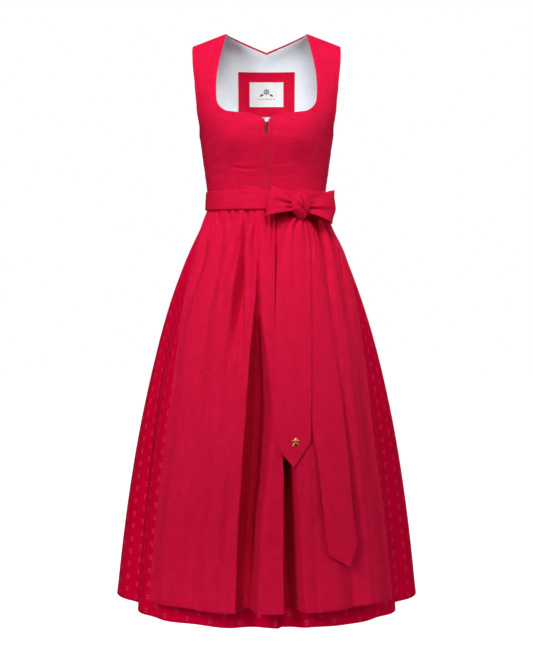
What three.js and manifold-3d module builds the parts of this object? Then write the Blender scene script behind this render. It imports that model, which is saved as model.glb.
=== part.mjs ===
// A sleeveless dirndl as it is worn: a fitted bodice with a heart neckline and a front zip, a gathered
// jacquard skirt, and a gathered linen apron whose ribbon is tied in a bow at the front.
// Millimetres. +Z is up and the front faces -Y. The origin is midway between the two shoulder straps,
// at the height where they rest on the wearer's shoulders. "Left" and "right" are the wearer's.
import * as THREE from "three";
import { mergeVertices } from "three/addons/utils/BufferGeometryUtils.js";
import Module from "manifold-3d";

const wasm = await Module();
wasm.setup();

// ---- Driving dimensions -------------------------------------------------------------------------

const SEAM_GAP = 0.3;
const BODICE_WALL = 1.6;
const SKIRT_WALL = 1.4;
const RIBBON_WALL = 1.6;

const WAIST_Z = -350; // the seam between bodice and skirt, behind the apron's band
const UNDERARM_Z = -208;
const HEM_Z = -1210;
const APRON_HEM_Z = -1170;
const BAND_TOP_Z = -330;
const BAND_BOTTOM_Z = -369;

const NECK_HALF_WIDTH = 88.4; // at the shoulder line
const SHOULDER_SLOPE = Math.tan(THREE.MathUtils.degToRad(21));
const BACK_NECK_Z = -16; // the point of the V at the centre of the back
const SHOULDER_Z = 16;

// Sections of the torso from the waist up to the shoulder line: half width, and depth before and behind
// the side seams.
const TORSO = [
  { z: WAIST_Z, width: 127, front: 97, back: 88 },
  { z: -330, width: 129.5, front: 98, back: 88 },
  { z: -300, width: 133.5, front: 101, back: 91 },
  { z: -270, width: 137.5, front: 107, back: 95 },
  { z: -240, width: 141.5, front: 114, back: 99 },
  { z: -215, width: 145, front: 118, back: 102 },
  { z: -200, width: 148.5, front: 118, back: 103.5 },
  { z: -180, width: 156, front: 115.5, back: 105 },
  { z: -160, width: 163, front: 110, back: 105 },
  { z: -135, width: 168.5, front: 101, back: 104 },
  { z: -105, width: 175.5, front: 88, back: 101 },
  { z: -75, width: 181.5, front: 73, back: 95 },
  { z: -48, width: 186, front: 57.5, back: 86 },
  { z: -24, width: 189, front: 42.5, back: 73 },
  { z: -5, width: 191, front: 29, back: 55 },
  { z: 8, width: 192, front: 16.5, back: 33 },
  { z: 14.5, width: 192, front: 7, back: 14 },
  { z: SHOULDER_Z, width: 192, front: SEAM_GAP / 2, back: SEAM_GAP / 2 },
];
const SHOULDER_SLOPE_FROM_Z = -135; // below this the sections are level

// The cups that the princess seams shape.
const CUP = { x: 70, z: -214, rise: 9, halfWidth: 38, halfHeight: 40 };

// The princess seam of the front, and the edge of the strap above it.
const PRINCESS_SEAM = [
  { z: WAIST_Z, x: 60 },
  { z: -330, x: 61.7 },
  { z: -298, x: 69 },
  { z: -273, x: 82 },
  { z: -245, x: 96.5 },
  { z: -218, x: 105 },
  { z: -180, x: 106 },
  { z: -160, x: 103.5 },
  { z: -149.6, x: 100.5 },
];
const STRAP_EDGE = [
  { z: -149.6, x: 100.5 },
  { z: -142, x: 105 },
  { z: -134, x: 107.3 },
  { z: -109, x: 108.5 },
  { z: -77, x: 107 },
  { z: -45, x: 102 },
  { z: -14.4, x: 95 },
  { z: 5, x: 90.5 },
  { z: SHOULDER_Z, x: NECK_HALF_WIDTH },
];
// The heart neckline, from the centre out to the princess seam.
const NECKLINE = [
  { x: 0, z: -184.5 },
  { x: 4.2, z: -181 },
  { x: 12.9, z: -175.5 },
  { x: 23.7, z: -171.4 },
  { x: 39.8, z: -167 },
  { x: 58, z: -165 },
  { x: 71, z: -163.5 },
  { x: 85.4, z: -160.7 },
  { x: 95, z: -155 },
  { x: 100.5, z: -149.6 },
];
// Half the gap between the two fronts, which part above the zip's slider.
const FRONT_OPENING = [
  { z: WAIST_Z, x: SEAM_GAP },
  { z: -216, x: SEAM_GAP },
  { z: -212, x: 1.2 },
  { z: -205, x: 2.3 },
  { z: -197, x: 2.9 },
  { z: -189, x: 3.3 },
  { z: -180, x: 4.8 },
];
// Angle of the armhole's edge from the centre front and from the centre back, in degrees.
const ARMHOLE = [
  { z: UNDERARM_Z, front: 89, back: 89 },
  { z: -203, front: 82, back: 82 },
  { z: -197, front: 77, back: 77 },
  { z: -190, front: 73, back: 73 },
  { z: -178, front: 69.8, back: 69 },
  { z: -160, front: 67.2, back: 65.5 },
  { z: -135, front: 64.6, back: 62 },
  { z: -105, front: 61.8, back: 59.5 },
  { z: -75, front: 59.6, back: 58.2 },
  { z: -24, front: 58.1, back: 57.6 },
  { z: SHOULDER_Z, front: 57, back: 57 },
];
// Heights of the rows of the panels that reach the princess seam, and of the strap above it.
const SEAM_ROWS = [WAIST_Z, -328, -306, -284, -262, -240, -223, UNDERARM_Z, -200, -190, -176, -162, -149.6];
const STRAP_ROWS = [-142, -134, -114, -90, -64, -40, -18, -2, 9, 14.5, SHOULDER_Z];

// ---- Small helpers ------------------------------------------------------------------------------

const degrees = THREE.MathUtils.degToRad;
const mix = THREE.MathUtils.lerp;
const smoothStep = (x, from, to) => THREE.MathUtils.smoothstep(x, Math.min(from, to), Math.max(from, to));
const count = (n) => Array.from({ length: n }, (_, i) => i);

// A smooth monotone curve through a table's rows: the value of one column against another.
function curve(rows, atKey, valueKey) {
  const xs = rows.map((row, i) => (atKey === "station" ? i : row[atKey]));
  const ys = rows.map((row) => row[valueKey]);
  const slopes = xs.slice(1).map((x, i) => (ys[i + 1] - ys[i]) / (x - xs[i]));
  const tangents = xs.map((_, i) => {
    if (i === 0) return slopes[0];
    if (i === xs.length - 1) return slopes[i - 1];
    const before = slopes[i - 1];
    const after = slopes[i];
    return before * after <= 0 ? 0 : (2 * before * after) / (before + after);
  });
  return (x) => {
    if (x <= xs[0]) return ys[0];
    if (x >= xs[xs.length - 1]) return ys[ys.length - 1];
    const i = xs.findIndex((_, k) => x < xs[k + 1]);
    const span = xs[i + 1] - xs[i];
    const t = (x - xs[i]) / span;
    const rise = (1 + 2 * t) * (1 - t) ** 2 * ys[i] + t * t * (3 - 2 * t) * ys[i + 1];
    return rise + span * (t * (1 - t) ** 2 * tangents[i] - t * t * (1 - t) * tangents[i + 1]);
  };
}

// A closed wall between two grids of points, grid[row][column].
function wall(outer, inner) {
  const rows = outer.length;
  const columns = outer[0].length;
  const at = (row, column, layer) => layer * rows * columns + row * columns + column;
  const faces = [];
  const quad = (a, b, c, d) => faces.push(a, b, c, a, c, d);
  for (const row of count(rows - 1)) {
    for (const column of count(columns - 1)) {
      quad(at(row, column, 0), at(row, column + 1, 0), at(row + 1, column + 1, 0), at(row + 1, column, 0));
      quad(at(row, column, 1), at(row + 1, column, 1), at(row + 1, column + 1, 1), at(row, column + 1, 1));
    }
  }
  for (const column of count(columns - 1)) {
    const last = rows - 1;
    quad(at(0, column + 1, 0), at(0, column, 0), at(0, column, 1), at(0, column + 1, 1));
    quad(at(last, column, 0), at(last, column + 1, 0), at(last, column + 1, 1), at(last, column, 1));
  }
  for (const row of count(rows - 1)) {
    const last = columns - 1;
    quad(at(row, 0, 0), at(row + 1, 0, 0), at(row + 1, 0, 1), at(row, 0, 1));
    quad(at(row + 1, last, 0), at(row, last, 0), at(row, last, 1), at(row + 1, last, 1));
  }
  return facingOut([...outer.flat(), ...inner.flat()], faces);
}

// The closed mesh of these points and faces, with its faces turned out.
function facingOut(points, faces) {
  const volume = count(faces.length / 3).reduce((sum, i) => {
    const [a, b, c] = [0, 1, 2].map((k) => points[faces[3 * i + k]]);
    return sum + a.dot(new THREE.Vector3().crossVectors(b, c));
  }, 0);
  const turned = volume < 0 ? faces.slice().reverse() : faces;
  return new THREE.BufferGeometry().setFromPoints(points).setIndex(turned);
}

// The outward normal of a surface given by two parameters.
function normalOf(surface, a, b, stepA, stepB) {
  const alongA = surface(a + stepA, b).sub(surface(a - stepA, b));
  const alongB = surface(a, b + stepB).sub(surface(a, b - stepB));
  return alongA.cross(alongB).normalize();
}

// A wall on a surface: its outside lies outset from the surface, and it is thickness deep. In a level
// wall the thickness is measured level, so that its upper and lower edges are level too.
function panel({ surface, grid, outset = 0, thickness, steps, level = false }) {
  const direction = (a, b) => {
    const normal = normalOf(surface, a, b, ...steps);
    return level ? normal.setZ(0).normalize() : normal;
  };
  const layer = (offset) =>
    grid.map((row) => row.map(([a, b]) => surface(a, b).addScaledVector(direction(a, b), offset)));
  return wall(layer(outset), layer(outset - thickness));
}

// A closed geometry as a solid to join and cut, and such a solid as a geometry again.
function solidOf(geometry) {
  const merged = mergeVertices(geometry.deleteAttribute("normal").deleteAttribute("uv"));
  const vertProperties = merged.attributes.position.array;
  return new wasm.Manifold(
    new wasm.Mesh({ numProp: 3, vertProperties, triVerts: Uint32Array.from(merged.index.array) }),
  );
}
function geometryOf(solid) {
  const mesh = solid.getMesh();
  return new THREE.BufferGeometry()
    .setAttribute("position", new THREE.BufferAttribute(Float32Array.from(mesh.vertProperties), 3))
    .setIndex(new THREE.BufferAttribute(mesh.triVerts, 1));
}

// ---- Torso --------------------------------------------------------------------------------------

const torso = {
  z: curve(TORSO, "station", "z"),
  width: curve(TORSO, "station", "width"),
  front: curve(TORSO, "station", "front"),
  back: curve(TORSO, "station", "back"),
};
const RIDGE = TORSO.length - 1;
const torsoPanel = (grid, outset, thickness) =>
  panel({ surface: torsoPoint, grid, outset, thickness, steps: [1e-3, 1e-2] });

// The station of a height: a position along the table's rows.
function stationAt(z) {
  let low = 0;
  let high = RIDGE;
  for (const _ of count(40)) {
    const middle = (low + high) / 2;
    if (torso.z(middle) < z) low = middle;
    else high = middle;
  }
  return (low + high) / 2;
}

// A point of the bodice's outside. The angle turns from the centre front towards +X. Beyond the last
// station, the ridge of the shoulders, the surface goes on down the other side.
function torsoPoint(angle, station) {
  const pastRidge = station > RIDGE;
  const s = pastRidge ? 2 * RIDGE - station : station;
  const halfWidth = torso.width(s);
  const depth = (Math.cos(angle) > 0 ? torso.front(s) : torso.back(s)) * (pastRidge ? -1 : 1);
  const x = halfWidth * Math.sin(angle);
  const y = -depth * Math.cos(angle);
  const level = torso.z(s);
  const slopeShare = smoothStep(level, SHOULDER_SLOPE_FROM_Z, SHOULDER_Z);
  const z = level - Math.max(0, Math.abs(x) - NECK_HALF_WIDTH) * SHOULDER_SLOPE * slopeShare;
  const point = new THREE.Vector3(x, y, z);
  if (y >= 0) return point;
  const across = (Math.abs(x) - CUP.x) / CUP.halfWidth;
  const upright = (level - CUP.z) / CUP.halfHeight;
  const outwards = new THREE.Vector3(x / halfWidth ** 2, y / depth ** 2, 0).normalize();
  return point.addScaledVector(outwards, CUP.rise * Math.exp(-across * across - upright * upright));
}

const princess = curve(PRINCESS_SEAM, "z", "x");
const strapEdge = curve(STRAP_EDGE, "z", "x");
const neckline = curve(NECKLINE, "x", "z");
const opening = curve(FRONT_OPENING, "z", "x");
const armholeFront = curve(ARMHOLE, "z", "front");
const armholeBack = curve(ARMHOLE, "z", "back");
const SEAM_TOP_Z = SEAM_ROWS[SEAM_ROWS.length - 1];

const angleAt = (x, station) => Math.asin(Math.min(1, x / torso.width(station)));

// One centre front, between the zip and the princess seam.
function frontPanel(side) {
  const COLUMNS = 8;
  const xAt = (share, z) => mix(opening(z), princess(z) - SEAM_GAP / 2, share);
  const top = (share) => {
    let z = SEAM_TOP_Z;
    for (const _ of count(20)) z = neckline(xAt(share, z));
    return z;
  };
  const grid = SEAM_ROWS.map((height) => {
    const up = (height - WAIST_Z) / (SEAM_TOP_Z - WAIST_Z);
    return count(COLUMNS + 1).map((column) => {
      const share = column / COLUMNS;
      const z = mix(WAIST_Z, top(share), up);
      const station = stationAt(z);
      return [side * angleAt(xAt(share, z), station), station];
    });
  });
  return torsoPanel(grid, 0, BODICE_WALL);
}

// Angle from the centre front, or from the centre back, of the side seam and of the armhole above it.
function outerAngle(station, depth, armhole) {
  const z = torso.z(station);
  return z > UNDERARM_Z ? degrees(armhole(z)) : Math.acos(SEAM_GAP / 2 / depth(station));
}

// One side front, from the princess seam round to the side seam, with its strap up to the shoulder.
function sideFrontPanel(side) {
  const COLUMNS = 5;
  const grid = [...SEAM_ROWS, ...STRAP_ROWS].map((z) => {
    const station = stationAt(z);
    const inner = angleAt((z < SEAM_TOP_Z ? princess(z) : strapEdge(z)) + SEAM_GAP / 2, station);
    const outer = outerAngle(station, torso.front, armholeFront);
    return count(COLUMNS + 1).map((column) => [side * mix(inner, outer, column / COLUMNS), station]);
  });
  return torsoPanel(grid, 0, BODICE_WALL);
}

// The station where a column of the back ends: on the V neckline, or at the shoulder line.
function backTop(angleOf) {
  const above = (station) => {
    const point = torsoPoint(angleOf(station), station);
    const x = Math.abs(point.x);
    return x < NECK_HALF_WIDTH && point.z > mix(BACK_NECK_Z, SHOULDER_Z, x / NECK_HALF_WIDTH);
  };
  let low = stationAt(-60);
  let high = RIDGE;
  if (!above(high - 1e-6)) return RIDGE;
  for (const _ of count(30)) {
    const middle = (low + high) / 2;
    if (above(middle)) high = middle;
    else low = middle;
  }
  return low;
}

// Angle and station on the back: share 0 is the centre back, share 1 the side seam and armhole.
function backPlace(side, share, z) {
  const centre = (station) => Math.PI - angleAt(SEAM_GAP / 2, station);
  const edge = (station) => Math.PI - outerAngle(station, torso.back, armholeBack);
  const angleOf = (station) => mix(centre(station), edge(station), share);
  const station = (stationAt(z) * backTop(angleOf)) / RIDGE;
  return [side * angleOf(station), station];
}

const LINING_TOP_Z = 15.6;
const BACK_ROWS = [...SEAM_ROWS, ...STRAP_ROWS.slice(0, -1), LINING_TOP_Z, SHOULDER_Z];
const BACK_SHARES = [0, 0.14, 0.28, 0.42, 0.56, 0.7, 0.84, 0.97, 1];
const backGrid = (side, rows, shares) =>
  rows.map((z) => shares.map((share) => backPlace(side, share, z)));
const backPanel = (side) => torsoPanel(backGrid(side, BACK_ROWS, BACK_SHARES), 0, BODICE_WALL);

// Each half of the back's lining follows its panel and stops a little short of the panel's edges.
const LINING_WALL = 1;
const LINING_OUTSET = -BODICE_WALL - SEAM_GAP;
const backLining = (side) =>
  torsoPanel(backGrid(side, BACK_ROWS.slice(0, -1), BACK_SHARES.slice(0, -1)), LINING_OUTSET, LINING_WALL);

// A rectangle of cloth on the inside of the back: the patch on the lining, and the label on the patch.
function insideRectangle({ columns, rows, column, row, top, outset, thickness }) {
  const grid = count(rows + 1).map((i) => {
    const station = stationAt(top - i * row);
    return count(columns + 1).map((k) => {
      const x = (k - columns / 2) * column;
      return [Math.PI - Math.asin(x / torso.width(station)), station];
    });
  });
  return torsoPanel(grid, outset, thickness);
}
const PATCH = {
  columns: 5,
  rows: 9,
  column: 25.6,
  row: 11,
  top: -56,
  outset: LINING_OUTSET - LINING_WALL - 1.5,
  thickness: 1,
};
const LABEL = {
  ...PATCH,
  columns: 3,
  rows: 5,
  top: PATCH.top - 2 * PATCH.row,
  outset: PATCH.outset - PATCH.thickness - SEAM_GAP,
  thickness: 0.8,
};

// ---- Zip ----------------------------------------------------------------------------------------

const ZIP_TOP_Z = -186;
const ZIP_BOTTOM_Z = -345;
const CHAIN_WALL = 1.4;
const CHAIN_OUTSET = -BODICE_WALL - 2 * SEAM_GAP;
const TAPE_OUTSET = CHAIN_OUTSET - CHAIN_WALL - SEAM_GAP;

// A vertical strip behind the centre front.
function centreStrip(halfWidth, outset, thickness) {
  const ROWS = 10;
  const COLUMNS = 2;
  const grid = count(ROWS + 1).map((row) => {
    const station = stationAt(mix(ZIP_BOTTOM_Z, ZIP_TOP_Z, row / ROWS));
    return count(COLUMNS + 1).map((column) => [
      Math.asin(mix(-halfWidth, halfWidth, column / COLUMNS) / torso.width(station)),
      station,
    ]);
  });
  return torsoPanel(grid, outset, thickness);
}

const SLIDER = { width: 5, depth: 3, height: 8, y: -118.2, z: -190 };
const LUG = { width: 0.7, height: 3, reach: 3 };
const HINGE = { y: -121.3, z: -187.8, pinRadius: 0.5, eyeRadius: 0.75, knuckleRadius: 1.25, knuckleWidth: 3 };
const TAB = { width: 3.2, neck: 1.8, length: 18, thickness: 0.9 };

const boxAt = (width, depth, height, x, y, z) =>
  solidOf(new THREE.BoxGeometry(width, depth, height).translate(x, y, z));
// A rod along X through the hinge.
const ROD_SIDES = 12;
const hingeRod = (length, radius) =>
  solidOf(
    new THREE.CylinderGeometry(radius, radius, length, ROD_SIDES)
      .rotateZ(Math.PI / 2)
      .translate(0, HINGE.y, HINGE.z),
  );

// The slider, with two lugs and between them the pin that the pull tab hangs on.
function slider() {
  const lugX = (SLIDER.width - LUG.width) / 2;
  const lugY = HINGE.y + LUG.reach / 2 - 1.2;
  const body = boxAt(SLIDER.width, SLIDER.depth, SLIDER.height, 0, SLIDER.y, SLIDER.z);
  const [right, left] = [-1, 1].map((side) =>
    boxAt(LUG.width, LUG.reach, LUG.height, side * lugX, lugY, HINGE.z),
  );
  const pin = hingeRod(SLIDER.width - LUG.width, HINGE.pinRadius);
  return geometryOf(body.add(right).add(left).add(pin));
}

// The pull tab: an eye round the pin, and below it a drop shape that is widest near its lower end.
function pullTab() {
  const endRadius = TAB.width / 2;
  const shape = new THREE.Shape();
  shape.moveTo(TAB.neck / 2, 0);
  shape.lineTo(endRadius, -TAB.length + endRadius);
  shape.absarc(0, -TAB.length + endRadius, endRadius, 0, -Math.PI, true);
  shape.lineTo(-TAB.neck / 2, 0);
  const plate = solidOf(
    new THREE.ExtrudeGeometry(shape, { depth: TAB.thickness, bevelEnabled: false, curveSegments: 5 })
      .translate(0, 0, -TAB.thickness / 2)
      .rotateX(Math.PI / 2)
      .translate(0, HINGE.y, HINGE.z),
  );
  const knuckle = hingeRod(HINGE.knuckleWidth, HINGE.knuckleRadius);
  return geometryOf(plate.add(knuckle).subtract(hingeRod(TAB.width + 1, HINGE.eyeRadius)));
}

// ---- Band ---------------------------------------------------------------------------------------

// The band's outside at its top and bottom edge. Its back half is the ribbon, wrapped once round.
const BAND_WALL = 2;
const BAND = [
  { z: BAND_BOTTOM_Z, width: 134.8, front: 105.4, back: 95.6 },
  { z: -352, width: 133.8, front: 103.4, back: 93.6 },
  { z: BAND_TOP_Z, width: 132.3, front: 100.9, back: 91 },
];
const band = {
  width: curve(BAND, "z", "width"),
  front: curve(BAND, "z", "front"),
  back: curve(BAND, "z", "back"),
};
function bandPoint(angle, z) {
  const depth = Math.cos(angle) > 0 ? band.front(z) : band.back(z);
  return new THREE.Vector3(band.width(z) * Math.sin(angle), -depth * Math.cos(angle), z);
}
function bandHalf(from, to) {
  const COLUMNS = 18;
  const gap = SEAM_GAP / 2 / band.front(BAND_TOP_Z);
  const grid = BAND.map(({ z }) =>
    count(COLUMNS + 1).map((column) => [mix(from + gap, to - gap, column / COLUMNS), z]),
  );
  return panel({ surface: bandPoint, grid, thickness: BAND_WALL, steps: [1e-3, 1e-2], level: true });
}

// ---- Skirt --------------------------------------------------------------------------------------

const SKIRT_TOP_Z = WAIST_Z - SEAM_GAP;
const FLARE_LENGTH = 500; // how fast the skirt spreads below the band
const DROP = { share: 0.8, length: 35 }; // just below the band it hangs straighter, by this share
const SKIRT = {
  width: { top: 130.2, band: 131.9, flare: 247 },
  front: { top: 99.7, band: 102, flare: 248 },
  back: { top: 89.8, band: 91.8, flare: 250 },
};
const SKIRT_ROWS = [SKIRT_TOP_Z, BAND_BOTTOM_Z, -395, -440, -520, -640, -800, -1000, HEM_Z];
const SKIRT_GATHERS = 56;
const COLUMNS_A_GATHER = 2;
const FINE_COLUMNS = { from: -2.5, to: 3, each: 3 }; // gathers with finer columns, where the deep folds are
const SIDE_SEAM_GAP = 10 * SEAM_GAP; // measured outside: the gathers lean the two edges together

// Flutes of the skirt: the angle of each valley from the centre front, how deep it is at the hem and
// half its width, in degrees.
const SKIRT_FLUTES = [
  { angle: -69, depth: 36, halfWidth: 10.5 },
  { angle: -47, depth: 4, halfWidth: 5 },
  { angle: -26, depth: 9, halfWidth: 7 },
  { angle: -4, depth: 15, halfWidth: 7 },
  { angle: 16, depth: 5, halfWidth: 6 },
  { angle: 45, depth: 6, halfWidth: 6 },
  { angle: 69, depth: 36, halfWidth: 10.5 },
  { angle: 104, depth: 24, halfWidth: 8 },
  { angle: 123, depth: 30, halfWidth: 8 },
  { angle: 145, depth: 24, halfWidth: 7 },
  { angle: 164, depth: 32, halfWidth: 8 },
  { angle: 186, depth: 26, halfWidth: 7 },
  { angle: 205, depth: 32, halfWidth: 8 },
  { angle: 226, depth: 24, halfWidth: 7 },
  { angle: 241, depth: 26, halfWidth: 7 },
  { angle: 256, depth: 24, halfWidth: 8 },
];

const bell = (x) => Math.exp(-x * x);

// Deep folds of the front, that the skirt and the apron over it share. By height: where the steep side
// lies, how far the fold reaches from there to its soft side, in degrees, and how deep it sinks in.
const DEEP_FOLDS = [
  [
    { z: APRON_HEM_Z, edge: -9, reach: 5.3, depth: 14 },
    { z: -1080, edge: -9, reach: 5.8, depth: 28 },
    { z: -984, edge: -8.8, reach: 6.1, depth: 42 },
    { z: -930, edge: -8.4, reach: 7, depth: 48 },
    { z: -857, edge: -8.1, reach: 8, depth: 52 },
    { z: -797, edge: -7.6, reach: 8.6, depth: 50 },
    { z: -703, edge: -7.2, reach: 7, depth: 38 },
    { z: -636, edge: -6.6, reach: 4.7, depth: 24 },
    { z: -581, edge: -5.9, reach: 2.8, depth: 10 },
    { z: -532, edge: -5.4, reach: 1.5, depth: 3 },
    { z: -458, edge: -5.8, reach: 1, depth: 0 },
    { z: -384, edge: -6.7, reach: 1.1, depth: 0 },
  ],
  [
    { z: APRON_HEM_Z, edge: 6.1, reach: 5, depth: 56 },
    { z: -1011, edge: 6.3, reach: 4.2, depth: 48 },
    { z: -879, edge: 6.7, reach: 3.2, depth: 34 },
    { z: -760, edge: 5.7, reach: 3.3, depth: 16 },
    { z: -622, edge: 4.8, reach: 2.4, depth: 4 },
    { z: -530, edge: 5.4, reach: 2, depth: 0 },
    { z: -384, edge: 8, reach: 2.7, depth: 0 },
  ],
].map((rows) => ({
  edge: curve(rows, "z", "edge"),
  reach: curve(rows, "z", "reach"),
  depth: curve(rows, "z", "depth"),
}));
const FOLD_WALL = 0.9; // half the width of a steep side, in degrees
const SHARPEST_TURN = 0.6; // cosine of half the sharpest turn at which the thickness is kept in full
const FOLD_PULL = 5; // degrees over which the skirt's columns lean with a fold's steep side
const UNDER_FOLD = { room: 1.3, deeper: 1.12 }; // the skirt's folds are wider and deeper than the apron's

// How fully a point lies in a deep fold, from 0 to 1; room widens the fold on both sides.
function inFold(fold, angle, z, room) {
  const off = THREE.MathUtils.radToDeg(angle) - fold.edge(z) + room;
  const reach = fold.reach(z) + 2 * room;
  return smoothStep(off, -FOLD_WALL, FOLD_WALL) * (1 - smoothStep(off, 0.45 * reach, 1.3 * reach));
}

// An angle of the skirt, leaned so that one column keeps to each fold's steep side all the way down.
function leaned(angle, z) {
  const pull = DEEP_FOLDS.reduce((sum, fold) => {
    const side = fold.edge(-900);
    return sum + (fold.edge(z) - side) * bell((THREE.MathUtils.radToDeg(angle) - side) / FOLD_PULL);
  }, 0);
  return angle + degrees(pull);
}

// A dimension of the skirt's outer form at a height.
function skirtSize({ top, band: atBand, flare }, z) {
  if (z > BAND_BOTTOM_Z) return mix(atBand, top, (z - BAND_BOTTOM_Z) / (SKIRT_TOP_Z - BAND_BOTTOM_Z));
  const below = BAND_BOTTOM_Z - z;
  const spread = (1 - Math.exp(-below / FLARE_LENGTH)) * (1 - DROP.share * Math.exp(-below / DROP.length));
  return atBand + flare * spread;
}
function ellipsePoint(width, depth, angle, z, outset) {
  const x = width * Math.sin(angle);
  const y = -depth * Math.cos(angle);
  const out = new THREE.Vector3(x / width ** 2, y / depth ** 2, 0).normalize();
  return new THREE.Vector3(x, y, z).addScaledVector(out, outset);
}
// The skirt's outer form, moved out: the surface that its folds sink in from.
function skirtForm(angle, z, outset) {
  const side = Math.cos(angle) > 0 ? SKIRT.front : SKIRT.back;
  return ellipsePoint(skirtSize(SKIRT.width, z), skirtSize(side, z), angle, z, outset);
}

// Gathers are deepest a little below the seam and die out further down.
const gatherDepth = (below, deepest, length) =>
  deepest * (0.72 + 0.28 * Math.min(1, below / 30)) * Math.exp(-((below / length) ** 2));
const gatherWave = (gather) =>
  (0.5 - 0.5 * Math.cos(2 * Math.PI * gather)) * (0.8 + 0.2 * Math.sin(2.4 * gather));

// The skirt, by gather number counted from the centre front, and height.
function skirtPoint(gather, z) {
  const turn = (2 * Math.PI * gather) / SKIRT_GATHERS;
  const angle = leaned(turn + 0.02 * Math.sin(5 * turn) + 0.012 * Math.sin(9 * turn + 1), z);
  const below = SKIRT_TOP_Z - z;
  const share = below / (SKIRT_TOP_Z - HEM_Z);
  const inwards = SKIRT_FLUTES.reduce((sum, flute) => {
    const turned = Math.atan2(Math.sin(angle - degrees(flute.angle)), Math.cos(angle - degrees(flute.angle)));
    return sum + flute.depth * bell(turned / degrees(flute.halfWidth));
  }, 0);
  const flutes = inwards * smoothStep(share, 0.02, 1) ** 0.9;
  const folds = DEEP_FOLDS.reduce(
    (sum, fold) => sum + UNDER_FOLD.deeper * fold.depth(z) * inFold(fold, angle, z, UNDER_FOLD.room),
    0,
  );
  return skirtForm(angle, z, -flutes - folds - gatherDepth(below, 4.2, 190) * gatherWave(gather));
}

// A hung cloth: its level thickness is measured from the segments on both sides of each grid point, so
// that a wall which turns sharply into a fold keeps it. Gathers run along a row, from right to left.
function clothPanel(surface, grid) {
  const outer = grid.map((row) => row.map(([gather, z]) => surface(gather, z)));
  const inwards = (from, to) => new THREE.Vector3(from.y - to.y, to.x - from.x, 0).normalize();
  const inner = outer.map((row) =>
    row.map((point, column) => {
      const before = inwards(row[Math.max(1, column) - 1], row[Math.max(1, column)]);
      const next = Math.min(row.length - 2, column);
      const after = inwards(row[next], row[next + 1]);
      const direction = before.clone().add(after).normalize();
      const depth = SKIRT_WALL / Math.max(SHARPEST_TURN, direction.dot(before));
      return point.clone().addScaledVector(direction, depth);
    }),
  );
  return wall(outer, inner);
}
function skirtPanel(fromGather, toGather) {
  const columns = (toGather - fromGather) * COLUMNS_A_GATHER;
  const gap = (SIDE_SEAM_GAP / 2 / SKIRT.width.top / (2 * Math.PI)) * SKIRT_GATHERS;
  const gathers = count(columns).flatMap((column) => {
    const [start, end] = [column, column + 1].map((at) => mix(fromGather + gap, toGather - gap, at / columns));
    const isFine = start > FINE_COLUMNS.from && end < FINE_COLUMNS.to;
    const parts = isFine ? FINE_COLUMNS.each : 1;
    return count(parts).map((part) => mix(start, end, part / parts));
  });
  gathers.push(toGather - gap);
  return clothPanel(
    skirtPoint,
    SKIRT_ROWS.toReversed().map((z) => gathers.map((gather) => [gather, z])),
  );
}

// ---- Apron --------------------------------------------------------------------------------------

const APRON_TOP_Z = BAND_BOTTOM_Z - SEAM_GAP;
const APRON_GATHERS = 34;
const APRON_CLEARANCE = SKIRT_WALL + 0.7; // outside of the apron's deepest fold over the skirt's form
const APRON_ROWS = [APRON_TOP_Z, -382, -405, -440, -520, -580, -640, -715, -800, -1000, -1100, APRON_HEM_Z];

// Angles of the apron's two side edges, in degrees.
const APRON_EDGES = [
  { z: APRON_HEM_Z, right: -43, left: 47.6 },
  { z: -900, right: -44, left: 47.8 },
  { z: -760, right: -45, left: 50.4 },
  { z: -640, right: -48.3, left: 55.2 },
  { z: -560, right: -52, left: 59.5 },
  { z: -475, right: -59.5, left: 69 },
  { z: -438, right: -65.5, left: 74 },
  { z: -400, right: -73, left: 79 },
  { z: APRON_TOP_Z, right: -82, left: 83 },
];
// How far the apron's ridges stand off the skirt.
const APRON_LIFT = [
  { z: APRON_HEM_Z, lift: 38 },
  { z: -1000, lift: 32 },
  { z: -800, lift: 23 },
  { z: -600, lift: 13 },
  { z: -470, lift: 6 },
  { z: APRON_TOP_Z, lift: 1.5 },
];
// Shallow folds of the apron, as valleys between its ridges: where each lies across the apron at its upper and
// lower end (0 is the wearer's right edge), how steep its two sides are at the lower end, as shares of
// the width, and how much of the lift it takes.
const APRON_FOLDS = [
  { from: -385, to: -690, top: 0.345, end: 0.315, rightSide: 0.032, leftSide: 0.012, depth: 0.85 },
  { from: -760, to: APRON_HEM_Z, top: 0.26, end: 0.2, rightSide: 0.06, leftSide: 0.05, depth: 0.3 },
  { from: APRON_TOP_Z, to: -900, top: 0.2, end: 0.15, rightSide: 0.04, leftSide: 0.05, depth: 0.45 },
  { from: APRON_TOP_Z, to: APRON_HEM_Z, top: 0.85, end: 0.8, rightSide: 0.04, leftSide: 0.05, depth: 0.4 },
  { from: APRON_TOP_Z, to: -980, top: 0.73, end: 0.7, rightSide: 0.04, leftSide: 0.05, depth: 0.4 },
];
const apronRight = curve(APRON_EDGES, "z", "right");
const apronLeft = curve(APRON_EDGES, "z", "left");
const apronLift = curve(APRON_LIFT, "z", "lift");
const apronGather = (z) => gatherDepth(APRON_TOP_Z - z, 4, 150);
const FOLD_GATHERS = [14, 18]; // the gathers that run down the deep folds' steep sides

// The apron's angle at a gather: evenly spaced between its edges and the steep sides of the deep folds.
function apronAngle(gather, z) {
  const gathers = [0, ...FOLD_GATHERS, APRON_GATHERS];
  const angles = [apronRight(z), ...DEEP_FOLDS.map((fold) => fold.edge(z)), apronLeft(z)];
  const after = 1 + FOLD_GATHERS.filter((side) => gather > side).length;
  const share = (gather - gathers[after - 1]) / (gathers[after] - gathers[after - 1]);
  return mix(angles[after - 1], angles[after], share);
}

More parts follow.
